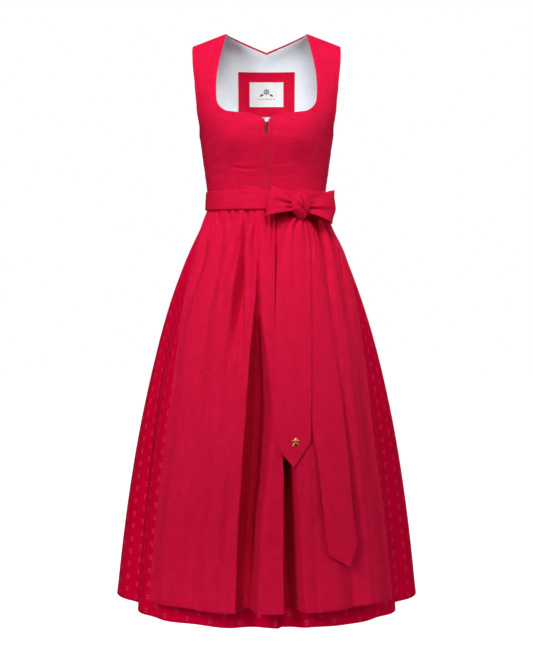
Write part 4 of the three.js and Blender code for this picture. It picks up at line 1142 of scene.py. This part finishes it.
# Creases of the apron: troughs and ridges from x0, z0 to x1, z1, as the bodice's.
APRON_CREASES = [
    (-96, -374, -116, -440, 4, 5, -4.2), (-114, -430, -150, -560, 4, 9, -3.2),
    (-64, -372, -84, -424, 3, 4.4, -3.8), (-84, -400, -104, -520, 4, 8, 2.6),
    (-78, -500, -116, -690, -3, 16, 4.0), (-128, -480, -170, -760, 5, 11, 3.0),
    (-110, -520, -146, -760, 5, 14, -3.6), (-40, -376, -36, -450, 1, 5, 2.6),
    (-30, -374, -31, -408, 0, 3, -3.0), (-47, -374, -50, -402, 1, 2.6, -2.6),
    (-8, -372, -7, -410, 0, 3, -3.0), (112, -372, 136, -590, 5, 7, -5.0),
    (122, -380, 152, -560, 4, 9, 3.0), (150, -450, 176, -640, 4, 10, -3.0),
    (134, -560, 196, -1000, 8, 20, 4.0), (176, -620, 206, -1000, -6, 16, -4.0),
    (-62, -880, -70, -1150, 4, 9, -3.4), (-126, -940, -144, -1150, 4, 16, -3.8),
    (-96, -800, -100, -1130, -5, 18, 3.6), (-160, -820, -196, -1150, 5, 12, 3.0),
    (6, -880, 8, -1140, 2, 9, 2.4), (88, -960, 98, -1160, 3, 13, -3.0),
]
apron_lift = curve(APRON_LIFT, "z", "lift")


def apron_gather(z):
    return gather_depth(APRON_TOP_Z - z, 4, 150)


def apron_angle(gather, z):
    """Evenly spaced between the apron's edges and the steep sides of the deep folds, in radians."""
    gathers = [0, *FOLD_GATHERS, APRON_GATHERS]
    sides = [apron_right(z), *(side_at(z) for side_at in FOLD_SIDES), apron_left(z)]
    angle = sides[0]
    for start, end, low, high in zip(gathers, gathers[1:], sides, sides[1:]):
        first, last = start == 0, end == APRON_GATHERS
        share = np.clip((gather - start) / (end - start), -1 if first else 0, 2 if last else 1)
        angle = angle + (high - low) * share
    return np.radians(angle)


PINCHES = {"gathers": 1.8, "depth": 10, "uneven": 6, "length": 52}  # at the band
MERGED = {"gathers": 4.1, "depth": 13, "length": 180}  # the broader folds below
TUCK = {"depth": 3.5, "length": 9}  # how the apron goes in under the band
PUFF = {"out": 3.5, "length": 300}


def pinch(turns):
    """Narrow valleys between rounded puffs, one a turn."""
    return 1 - np.abs(np.cos(np.pi * turns)) ** 0.8


def gather_relief(gather, z):
    """Gathers pinched unevenly at the band, that run together into a few broader folds further down."""
    below = APRON_TOP_Z - z
    drift = gather / PINCHES["gathers"] + 0.5 * waver(gather, below / 3, 4.3, 90, 82)
    deepest = PINCHES["depth"] + PINCHES["uneven"] * waver(gather, 0, 3.1, 1, 83)
    length = PINCHES["length"] + 32 * waver(gather, 0, 4.3, 1, 84)
    near = deepest * np.exp(-((below / length) ** 2)) * pinch(drift)
    merged = gather / MERGED["gathers"] + 0.4 * waver(gather, below, 9, 330, 88)
    fading = np.exp(-((below / (MERGED["length"] + 60 * waver(gather, 0, 6, 1, 89))) ** 2))
    middle = MERGED["depth"] * smooth(below, 10, 60) * fading * pinch(merged)
    tucked = TUCK["depth"] * np.exp(-((below / TUCK["length"]) ** 2))
    puffed = PUFF["out"] * smooth(below, 5, 60) * np.exp(-((below / PUFF["length"]) ** 2))
    return puffed - near - middle - tucked


def apron_point(gather, z):
    """A point of the apron, by gather number counted from the wearer's right edge, and height."""
    angle = apron_angle(gather, z)
    across = gather / APRON_GATHERS
    hemward = (APRON_TOP_Z - z) / (APRON_TOP_Z - APRON_HEM_Z)
    kept = np.ones(np.broadcast(across, z).shape)
    for start, end, top, bottom, right_side, left_side, depth in APRON_FOLDS:
        down = (start - z) / (start - end)
        fades = 1 - smooth(down, 0.7, 1.3) if end > APRON_HEM_Z else 1
        starts = smooth(down, 0, 0.5) if start < APRON_TOP_Z else down >= 0
        off = across - mix(top, bottom, down)
        side = np.where(off < 0, right_side, left_side) * mix(0.45, 1, np.maximum(down, 0))
        kept = kept * (1 - depth * fades * starts * bell(off / side))
    arch = 0.3 + 0.7 * np.sqrt(np.sin(np.pi * np.clip(across, 0.03, 0.97)))
    ridge = apron_lift(z) * arch * kept
    sunk = sum(
        (ridge + depth_at(z)) * in_fold(fold, angle, z, 0) for fold, depth_at in enumerate(FOLD_DEPTHS)
    )
    off = (wedge_side(z) - np.degrees(angle)) / wedge_reach(z)
    sunk = sunk + wedge_depth(z) * smooth(off, -0.14, 0.14) * (1 - smooth(off, 0.4, 1.35))
    folds = 0.8 * (1 + waver(across, z, 0.06, 900, 81)) * smooth(hemward, 0, 0.3)
    outset = APRON_CLEARANCE + ridge - sunk + gather_relief(gather, z) + folds
    form = skirt_form(angle, z, 0)
    return skirt_form(angle, z, outset + creases(form[..., 0], form[..., 2], APRON_CREASES))


def apron_panel():
    gathers = np.linspace(0, APRON_GATHERS, APRON_GATHERS * APRON_COLUMNS_A_GATHER + 1)
    z = rows_down(APRON_TOP_Z, APRON_HEM_Z, 110)[::-1]
    return hung_panel(
        "apron_cloth", apron_point, gathers, z, APRON_CLOTH, APRON_GATHERS, APRON_LINEN
    )


apron = apron_panel()
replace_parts(apron, "apron")

# ---- Bow ----------------------------------------------------------------------------------------

BOW = {"width": 166, "depth": 131, "knot_x": 70, "knot_z": -364, "lean": 0.2}
# The CAD's knot, under which the tails end.
KNOT = {"width": 33, "height": 47, "taper": 0.12, "power": 3.2}
LOOPS = {
    "right": {"start_x": 54.3, "end_x": 1.5, "end_z": -350, "half_height": 33, "slant": 4.5, "plump": 19},
    "left": {"start_x": 87.5, "end_x": 143, "end_z": -364, "half_height": 36, "slant": 7, "plump": 19},
}
LOOP_PINCH = 8  # half the loops' height at the knot
LOOP_PARTING = 2.4  # half the space between a loop's two layers at the knot
LOOP_SWELL = 0.85  # below 1, a loop is fuller towards its end
LOOP_CLOTH = RIBBON_WALL - 0.4


def bow_angle(x):
    return np.arcsin(x / BOW["width"])


def bow_point(x, z, outset):
    lean = BOW["lean"] * (BOW["knot_z"] - z)
    return ellipse_point(BOW["width"], BOW["depth"], bow_angle(x), z, outset + lean)


# Creases of the loops' fronts, that fan out from the knot: where across, half as wide as, how deep, and
# how far out towards the loop's end.
LOOP_CREASES = {
    "right": [
        (0.05, 0.16, -5.5, 0.8), (-0.55, 0.16, -4, 0.45), (0.66, 0.14, -3, 0.4),
        (0.36, 0.22, 3.5, 0.9), (-0.24, 0.2, 3, 0.7),
    ],
    "left": [
        (0.34, 0.15, -5, 0.5), (-0.3, 0.16, -5.5, 0.85), (-0.75, 0.14, -3, 0.4),
        (0.04, 0.22, 3.8, 0.8),
    ],
}


def loop_surface(part):
    size, rows = LOOPS[part], LOOP_CREASES[part]

    def surface(along, across):
        """By position along the ribbon, 0 and 1 at the knot, and across it, -1 to 1."""
        reach = np.sin(np.pi * along) ** LOOP_SWELL
        uneven = 0.03 * (size["end_x"] - BOW["knot_x"]) * np.cos(4 * across + 0.6)
        end = size["end_x"] + size["slant"] * across + uneven
        x = mix(BOW["knot_x"], end, reach)
        layer = size["plump"] / 2 * np.sin(2 * np.pi * along) + LOOP_PARTING * np.cos(np.pi * along)
        half_height = mix(LOOP_PINCH, size["half_height"], reach**1.2)
        crease = np.zeros(np.broadcast(along, across).shape)
        for where, half, depth, length in rows:
            fades = 1 - smooth(reach, length * 0.4, length * 1.3)
            crease += depth * bell((across - where) / half / mix(0.9, 2.2, reach)) * fades
        crease = crease * smooth(0.5 - along, 0, 0.1) + 1.6 * np.sin(2.3 * across + 0.8) * reach**4
        z = mix(BOW["knot_z"], size["end_z"], reach) + across * half_height
        return bow_point(x, z, layer + crease)

    return surface


def loop(name, part, seed):
    size = LOOPS[part]
    surface = loop_surface(part)
    start_reach = (size["start_x"] - BOW["knot_x"]) / (size["end_x"] - BOW["knot_x"])
    start = math.asin(start_reach ** (1 / LOOP_SWELL)) / math.pi
    along = mix(start, 1 - start, spaced(92, 0.2))[:, None]
    across = mix(-1, 1, spaced(60, 0.3))[None, :]
    along, across = np.broadcast_arrays(along, across)
    normal = normals(surface, along, across, 1e-3, 1e-3)
    relief = 0.25 * waver(along * 160, across * 33, 40, 16, seed)
    base = surface(along, across)
    return cloth_shell(name, base, normal, relief + LOOP_CLOTH / 2, LOOP_CLOTH, LINEN)


for part in LOOPS:
    piece = loop(f"bow_loop_{part}_cloth", part, 91)
    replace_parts(piece, f"bow_loop_{part}")


SEEN_KNOT = {"width": 42, "height": 56, "depth": 32, "taper": -0.02, "power": 2.4}
# Creases on the knot's front: a strand that crosses from its top down to the wearer's left.
KNOT_CREASES = [
    (1, 30, 10, -24, 4, 3, -8), (12, 24, 20, -20, -3, 5, 3.5), (-16, 6, 2, -16, -3, 3, -3),
    (-8, 14, -3, -8, -2, 6, 3),
]


def knot():
    """The knot: a wrap of ribbon, fuller on its right, that narrows to a point below."""
    heights = -np.cos(np.linspace(0.04, np.pi - 0.04, 84))[:, None]
    turn = np.linspace(0, 2 * np.pi, 132, endpoint=False)[None, :]
    radius = (1 - np.abs(heights) ** SEEN_KNOT["power"]) ** (1 / SEEN_KNOT["power"])
    radius = radius * (1 - 0.35 * smooth(-heights, 0.15, 1))
    front_share = smooth(np.cos(turn), -0.1, 0.5)
    flat_x = radius * np.sin(turn) * SEEN_KNOT["width"] / 2
    flat_z = np.broadcast_to(heights * SEEN_KNOT["height"] / 2, flat_x.shape)
    relief = creases(flat_x, flat_z, KNOT_CREASES) * front_share
    grow = 1 + 0.012 * np.cos(9 * turn - 3 * heights) - SEEN_KNOT["taper"] * heights
    x = flat_x * grow + 5 * smooth(-heights, 0.0, 1)
    y = -radius * grow * np.cos(turn) * SEEN_KNOT["depth"] / 2 - relief
    z = flat_z
    centre = bow_point(BOW["knot_x"], BOW["knot_z"], 1)
    facing = bow_angle(BOW["knot_x"])
    cosine, sine = math.cos(facing), math.sin(facing)
    grid = points(x * cosine - y * sine, x * sine + y * cosine, z) + centre
    rows, columns = grid.shape[:2]
    index = np.arange(rows * columns).reshape(rows, columns)
    following = np.roll(index, -1, axis=1)
    faces = np.stack([index[:-1], following[:-1], following[1:], index[1:]], -1).reshape(-1, 4).tolist()
    low, high = rows * columns, rows * columns + 1
    faces += [[low, b, a] for a, b in zip(index[0], following[0])]
    faces += [[high, a, b] for a, b in zip(index[-1], following[-1])]
    ends = [grid[0].mean(axis=0), grid[-1].mean(axis=0)]
    around = np.broadcast_to(turn * SEEN_KNOT["width"] / 2, x.shape)
    uv = np.stack([around, z], -1).reshape(-1, 2) * MM
    uv = np.concatenate([uv, [[0, 0], [0, 0]]])
    vertices = np.concatenate([grid.reshape(-1, 3), ends])
    return add_mesh("bow_knot_cloth", vertices, faces, uv, LINEN)


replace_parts(knot(), "bow_knot")

# Edges of the two tails, from the corners of each point up to the knot.
TAIL_ROWS = {
    "right": table(
        "z inner outer",
        [
            (-851, 22, 88.5), (-786, 17.5, 89.5), (-703, 18, 91), (-602, 18.5, 92.5),
            (-500, 21.5, 91.5), (-437, 29.5, 90), (-405, 38, 86), (-384, 56, 82),
        ],
    ),
    "left": table(
        "z inner outer",
        [
            (-1061, 123.8, 185), (-970, 113, 173), (-880, 103, 166), (-786, 88, 156),
            (-714, 77, 147), (-660, 68, 137), (-560, 62, 121), (-500, 70, 113), (-437, 81, 110),
            (-405, 74, 99), (-384, 66, 87),
        ],
    ),
}
TAILS = {
    "right": {"tip": 43, "tip_at": 0.49, "corner_rise": 11, "outset": RIBBON_WALL + 1.8},
    "left": {"tip": 39, "tip_at": 0.71, "corner_rise": 18.5, "outset": 0},
}
TAIL_STAND = {"out": 12, "length": 60}  # how far the tails stand out at the knot, fading down this length
TAIL_GATHERS = {"count": 2.6, "depth": 3.6, "length": 46}  # at the knot


def tail_point(x, z, outset):
    stand = TAIL_STAND["out"] * bell((BOW["knot_z"] - z) / TAIL_STAND["length"])
    off = APRON_CLEARANCE + apron_lift(z) + apron_gather(z) + 0.5 + RIBBON_WALL + outset + stand
    width = skirt_size(SKIRT_WIDTH, z) + off
    depth = skirt_size(SKIRT_FRONT, z) + off
    return points(x, -depth * np.sqrt(1 - (x / width) ** 2), z)


def tail(name, part, seed):
    rows, size = TAIL_ROWS[part], TAILS[part]
    inner_edge, outer_edge = curve(rows, "z", "inner"), curve(rows, "z", "outer")
    across = spaced(44, 0.3)[None, :]
    near, far = across / size["tip_at"], (1 - across) / (1 - size["tip_at"])
    bottom = rows["z"][0] + size["corner_rise"] * across - size["tip"] * np.minimum(near, far)
    x_top = mix(inner_edge(BOW["knot_z"]), outer_edge(BOW["knot_z"]), across) - BOW["knot_x"]
    u = np.abs(x_top) / (KNOT["width"] / 2 * (1 + KNOT["taper"]))
    knot_below = KNOT["height"] / 2 * (1 - u ** KNOT["power"]) ** (1 / KNOT["power"])
    top = BOW["knot_z"] - knot_below - 2 * SEAM_GAP
    z = mix(bottom, top, spaced(140, 0.15)[:, None])
    across = np.broadcast_to(across, z.shape)

    def surface(share, height):
        return tail_point(mix(inner_edge(height), outer_edge(height), share), height, size["outset"])

    normal = normals(surface, across, z, 1e-3, 0.5)
    base = surface(across, z)
    below = top - z
    turns = 2 * np.pi * across * TAIL_GATHERS["count"] + 0.7
    gathers = TAIL_GATHERS["depth"] * (np.cos(turns) - 1) * np.exp(-below / TAIL_GATHERS["length"])
    gathers -= 3.5 * bell((across - 0.5) / 0.1) * np.exp(-below / 60)
    uneven = 0.5 * (waver(across * 66, z, 40, 150, seed) - 1) * smooth(below, 10, 80)
    return cloth_shell(name, base, normal, gathers + uneven, CLOTH, LINEN)


for part, seed in (("right", 101), ("left", 104)):
    piece = tail(f"ribbon_tail_{part}_cloth", part, seed)
    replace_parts(piece, f"ribbon_tail_{part}")

# ---- Zip and charm ------------------------------------------------------------------------------

ZIP_OUTSET = -3.4  # of the teeth's middle from the bodice's outside
TOOTH = {"pitch": 2.0, "width": 2.6, "height": 1.05, "depth": 1.6, "overlap": 0.5}
ZIP_ENDS = (-344, -188)


def rounded_boxes(name, centres, axes, size, material):
    """Small boxes with rounded edges: axes is, for each, its three directions."""
    cube = bpy.data.meshes.new("tooth")
    shape = bmesh.new()
    bmesh.ops.create_cube(shape, size=1)
    for vertex in shape.verts:
        vertex.co = Vector(side * length for side, length in zip(vertex.co, size))
    edges = list(shape.edges)
    bmesh.ops.bevel(shape, geom=edges, offset=min(size) * 0.22, segments=1, affect="EDGES", profile=0.5)
    shape.to_mesh(cube)
    shape.free()
    corners = np.array([vertex.co for vertex in cube.vertices])
    loops = [list(polygon.vertices) for polygon in cube.polygons]
    placed = centres[:, None, :] + np.einsum("vk,nkx->nvx", corners, axes)
    faces = [[len(corners) * k + v for v in loop_] for k in range(len(centres)) for loop_ in loops]
    vertices = placed.reshape(-1, 3)
    bpy.data.meshes.remove(cube)
    return add_mesh(name, vertices, faces, vertices[:, :2] * MM, material)


def zip_teeth():
    """Two rows of interlocking teeth on the tape's middle."""
    z = np.arange(*ZIP_ENDS, TOOTH["pitch"] / 2)
    side = np.where(np.arange(len(z)) % 2, 1.0, -1.0)
    station = station_at(z)
    zero = np.zeros_like(z)
    out = normals(torso_point, zero, station, 1e-3, 1e-2)
    centre = moved(torso_point(zero, station), out, ZIP_OUTSET)
    across = np.broadcast_to([1.0, 0, 0], out.shape)
    centre = moved(centre, across, side * (TOOTH["width"] / 2 - TOOTH["overlap"]))
    up = np.cross(out, across)
    axes = np.stack([across, out, up], axis=1)
    size = (TOOTH["width"], TOOTH["depth"], TOOTH["height"])
    return rounded_boxes("zip_chain_teeth", centre, axes, size, BRASS)


def bevelled(node, name, offset, material, body):
    """A CAD node's form with its sharp edges rounded."""
    source = frame["nodes"][node]
    shape = bmesh.new()
    shape.from_mesh(source.data)
    shape.transform(source.matrix_world)
    bmesh.ops.remove_doubles(shape, verts=shape.verts, dist=1e-6)
    bmesh.ops.dissolve_limit(shape, angle_limit=math.radians(2), verts=shape.verts, edges=shape.edges)
    steep = math.radians(35)
    sharp = [edge for edge in shape.edges if edge.is_manifold and edge.calc_face_angle() > steep]
    rounding = {"segments": 2, "affect": "EDGES", "profile": 0.5, "clamp_overlap": True}
    bmesh.ops.bevel(shape, geom=sharp, offset=offset * MM, **rounding)
    mesh = bpy.data.meshes.new(name)
    shape.to_mesh(mesh)
    shape.free()
    mesh.polygons.foreach_set("use_smooth", np.zeros(len(mesh.polygons), bool))
    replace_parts(add_piece(name, mesh, material, body), node)


teeth = zip_teeth()
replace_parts(teeth, "zip_chain")
tape = frame["nodes"]["zip_tape"].data.materials
tape.clear()
tape.append(TAPE)
bevelled("zip_slider", "zip_slider_body", 0.22, LACQUER, "dress")
bevelled("zip_tab", "zip_tab_plate", 0.14, LACQUER, "zip_pull")

# The charm's place on the tail, and how its middle stands off it. Its balls are given by place in the
# charm's own frame (across, in, up), radii and turn.
CHARM = {"x": 58.5, "z": -838.5, "stand": 1.4}
PETALS = 5
PETAL_OUT = 4.3
BEADS = 8
BEAD_OUT = 1.9


def in_fixed_order(shape):
    """Vertices and faces of a bmesh, sorted: bmesh gives those of a sphere in another order each run."""
    shape.verts.index_update()
    vertices = np.array([vertex.co for vertex in shape.verts])
    order = np.lexsort(vertices.T)
    renumbered = np.argsort(order).tolist()
    faces = sorted([renumbered[vertex.index] for vertex in face.verts] for face in shape.faces)
    return vertices[order], faces


def charm():
    """A cast blossom with a beaded eye and two leaves."""
    shape = bmesh.new()

    def ball(x, y, z, radii, turn):
        made = bmesh.ops.create_uvsphere(shape, u_segments=20, v_segments=12, radius=1)
        place = Matrix.Translation((x, y, z)) @ Matrix.Rotation(turn, 4, "Y") @ Matrix.Diagonal((*radii, 1))
        bmesh.ops.transform(shape, matrix=place, verts=made["verts"])

    for petal in range(PETALS):
        turn = 2 * math.pi * petal / PETALS
        x, z = PETAL_OUT * math.sin(turn), PETAL_OUT * math.cos(turn)
        ball(x, 0, z, (2.3, 1.0, 3.0), turn)
        ball(x * 1.05, -0.8, z * 1.05, (0.45, 0.5, 1.9), turn)
    ball(0, -1.0, 0, (1.8, 1.1, 1.8), 0)
    for bead in range(BEADS):
        turn = 2 * math.pi * bead / BEADS
        ball(BEAD_OUT * math.sin(turn), -1.3, BEAD_OUT * math.cos(turn), (0.45, 0.45, 0.45), 0)
    for side in (-1, 1):
        ball(side * 4.6, 0.2, -6.6, (3.4, 0.7, 1.4), side * math.radians(32))

    def surface(x, z):
        return tail_point(np.array(x), np.array(z), TAILS["right"]["outset"])

    x, z = CHARM["x"], CHARM["z"]
    out = unit(np.cross(surface(x + 1, z) - surface(x - 1, z), surface(x, z + 1) - surface(x, z - 1)))
    across = unit(np.cross(out, [0, 0, 1.0]))
    across = -across if across[0] < 0 else across
    up = np.cross(across, -out)
    up = up if up[2] > 0 else -up
    own, faces = in_fixed_order(shape)
    shape.free()
    origin = surface(x, z) + out * CHARM["stand"]
    placed = origin + own[:, :1] * across - own[:, 1:2] * out + own[:, 2:] * up
    piece = add_mesh("ribbon_charm_cast", placed, faces, placed[:, ::2] * MM, GILT)
    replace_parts(piece, "ribbon_charm")


charm()

# ---- Sewing -------------------------------------------------------------------------------------


# Rows of stitches beside the zip: how far from the front's edge, and the upper end.
PLACKET_ROWS = [(PLACKET, PLACKET_TOP_Z), (1.6, -184)]


def placket_stitches(side, off, top):
    z = np.linspace(WAIST_Z + 22, top, 120)
    station = station_at(z)
    angle = side * angle_at(front_opening(z) + off, station)
    out = normals(torso_point, angle, station, 1e-3, 1e-2)
    path = moved(torso_point(angle, station), out, 0.1)
    return stitches("row", path, out, THREAD, 2.6, 0.8, 0.34)


for side, part in SIDES:
    joined(f"placket_stitches_{part}", [placket_stitches(side, *row) for row in PLACKET_ROWS])


def hung_stitches(name, surface, gathers, z, lift, gap, radius):
    """Stitches on the skirt or the apron, through these gathers and heights."""
    gathers, z = np.broadcast_arrays(gathers, z)
    normal = normals(surface, gathers, z, 1e-2, 0.5)
    stitches(name, moved(surface(gathers, z), normal, lift), normal, THREAD, 3, gap, radius)


around = np.linspace(-QUARTER + 0.1, 3 * QUARTER - 0.1, 2400)
hung_stitches("skirt_hem_stitches", skirt_point, around, HEM_Z + HEM_STITCH_UP, -0.9, 1.2, 0.3)
across_apron = np.linspace(0.25, APRON_GATHERS - 0.25, 1500)
apron_hem_top = APRON_HEM_Z + APRON_HEM_UP
hung_stitches("apron_hem_stitches", apron_point, across_apron, apron_hem_top, -0.25, 1, 0.3)
down_apron = np.linspace(APRON_TOP_Z - 8, apron_hem_top, 500)
for part, gather in (("right", 0.28), ("left", APRON_GATHERS - 0.28)):
    hung_stitches(f"apron_side_stitches_{part}", apron_point, gather, down_apron, -0.1, 1.1, 0.28)


def inside_stitches(name, size, inset, material):
    """Stitches just inside a rectangle's edge, on the inside of the back."""
    half, top = size["half_width"] - inset, size["top"] - inset
    bottom = size["top"] - size["height"] + inset
    corners = [(-half, top), (half, top), (half, bottom), (-half, bottom), (-half, top)]
    runs = []
    for (x0, z0), (x1, z1) in zip(corners, corners[1:]):
        x, z = np.linspace(x0, x1, 60), np.linspace(z0, z1, 60)
        angle, station = inside_place(x, z)
        out = normals(torso_point, angle, station, 1e-3, 1e-2)
        path = moved(torso_point(angle, station), out, size["outset"] - size["thickness"])
        runs.append(stitches("row", path, -out, material, 2.4, 0.9, 0.26))
    return joined(name, runs)


inside_stitches("label_patch_stitches", PATCH, 2.6, THREAD)
inside_stitches("label_stitches", LABEL_SIZE, 1.6, WHITE_THREAD)

# ---- Stage, light and camera --------------------------------------------------------------------

IMAGE_HEIGHT = 666
FOCAL_PIXELS = 1368
SENSOR = 36.0  # along the picture's longer side
EYE = Vector((0, -3.0, -0.458))
TILT = math.radians(1.65)  # downwards
SHIFT_DOWN = 0.064  # of the picture's height
FLOOR_Z = -1.45
FLOOR_SIZE = 16.0


def floor():
    half = FLOOR_SIZE / 2
    corners = [(-half, -half), (half, -half), (half, half), (-half, half)]
    mesh = bpy.data.meshes.new("floor")
    mesh.from_pydata([(x, y, FLOOR_Z) for x, y in corners], [], [(0, 1, 2, 3)])
    graph = Graph("floor_paint")
    grain = graph.noise(graph.node("TexCoord").outputs["Object"], 0.4, 0.4)
    tone = graph.mix(grain, (0.3, 0.3, 0.3, 1), (0.33, 0.33, 0.33, 1))
    paint = graph.finish(
        Base_Color=tone,
        Roughness=0.9,
        Specular_IOR_Level=0.1,
        Emission_Color=(1, 1, 1, 1),
        Emission_Strength=1.0,
    )
    mesh.materials.append(paint)
    piece = bpy.data.objects.new("floor", mesh)
    piece.visible_diffuse = False
    piece.visible_glossy = False
    scene.collection.objects.link(piece)


def light(name, place, target, size, power, spread=180):
    lamp = bpy.data.lights.new(name, "AREA")
    lamp.shape = "RECTANGLE"
    lamp.size, lamp.size_y = size
    lamp.energy = power
    lamp.spread = math.radians(spread)
    lamp_object = bpy.data.objects.new(name, lamp)
    lamp_object.location = place
    lamp_object.rotation_euler = (Vector(target) - Vector(place)).to_track_quat("-Z", "Y").to_euler()
    scene.collection.objects.link(lamp_object)


def world():
    """White all round; it lights the garment less than it shows."""
    sky = bpy.data.worlds.new("studio")
    sky.use_nodes = True
    tree = sky.node_tree
    shown = tree.nodes["Background"]
    shown.inputs["Color"].default_value = (1, 1, 1, 1)
    shown.inputs["Strength"].default_value = 1.0
    lighting = tree.nodes.new("ShaderNodeBackground")
    lighting.inputs["Strength"].default_value = 0.07
    path = tree.nodes.new("ShaderNodeLightPath")
    either = tree.nodes.new("ShaderNodeMixShader")
    tree.links.new(path.outputs["Is Camera Ray"], either.inputs[0])
    tree.links.new(lighting.outputs[0], either.inputs[1])
    tree.links.new(shown.outputs[0], either.inputs[2])
    tree.links.new(either.outputs[0], tree.nodes["World Output"].inputs["Surface"])
    scene.world = sky


def camera():
    lens = bpy.data.cameras.new("camera")
    lens.lens = FOCAL_PIXELS * SENSOR / IMAGE_HEIGHT
    lens.sensor_width = SENSOR
    lens.clip_end = 50
    lens.shift_y = -SHIFT_DOWN
    camera_object = bpy.data.objects.new("camera", lens)
    camera_object.location = EYE
    camera_object.rotation_euler = (math.pi / 2 - TILT, 0, 0)
    scene.collection.objects.link(camera_object)
    scene.camera = camera_object


floor()
world()
light("key", (-1.5, -2.3, 0.7), (0, 0, -0.45), (0.6, 0.8), 24)
light("fill", (0.8, -2.6, 0.8), (0, 0, -0.5), (0.8, 0.9), 10)
light("right_side", (2.6, -0.5, 0.1), (0.1, 0, -0.75), (0.7, 1.4), 22)
light("left_side", (-2.6, -0.4, -0.1), (-0.1, 0, -0.9), (0.7, 1.2), 6)
light("neck", (0, -1.6, 1.2), (0.02, 0.1, 0.03), (0.9, 0.6), 4.6, 60)
light("low", (-0.3, -2.3, -1.4), (0, 0, -1.5), (1.4, 0.2), 1.4, 30)
light("skirt", (-1.5, -2.5, 0.2), (0.08, 0, -1.0), (0.6, 0.8), 2.3, 60)
light("back", (0.9, 2.8, 0.9), (0, 0, -0.5), (1.2, 1.4), 32)
light("top", (0, -0.4, 2.4), (0, 0, -0.6), (1.8, 1.4), 6)
camera()
scene.view_settings.view_transform = "Standard"
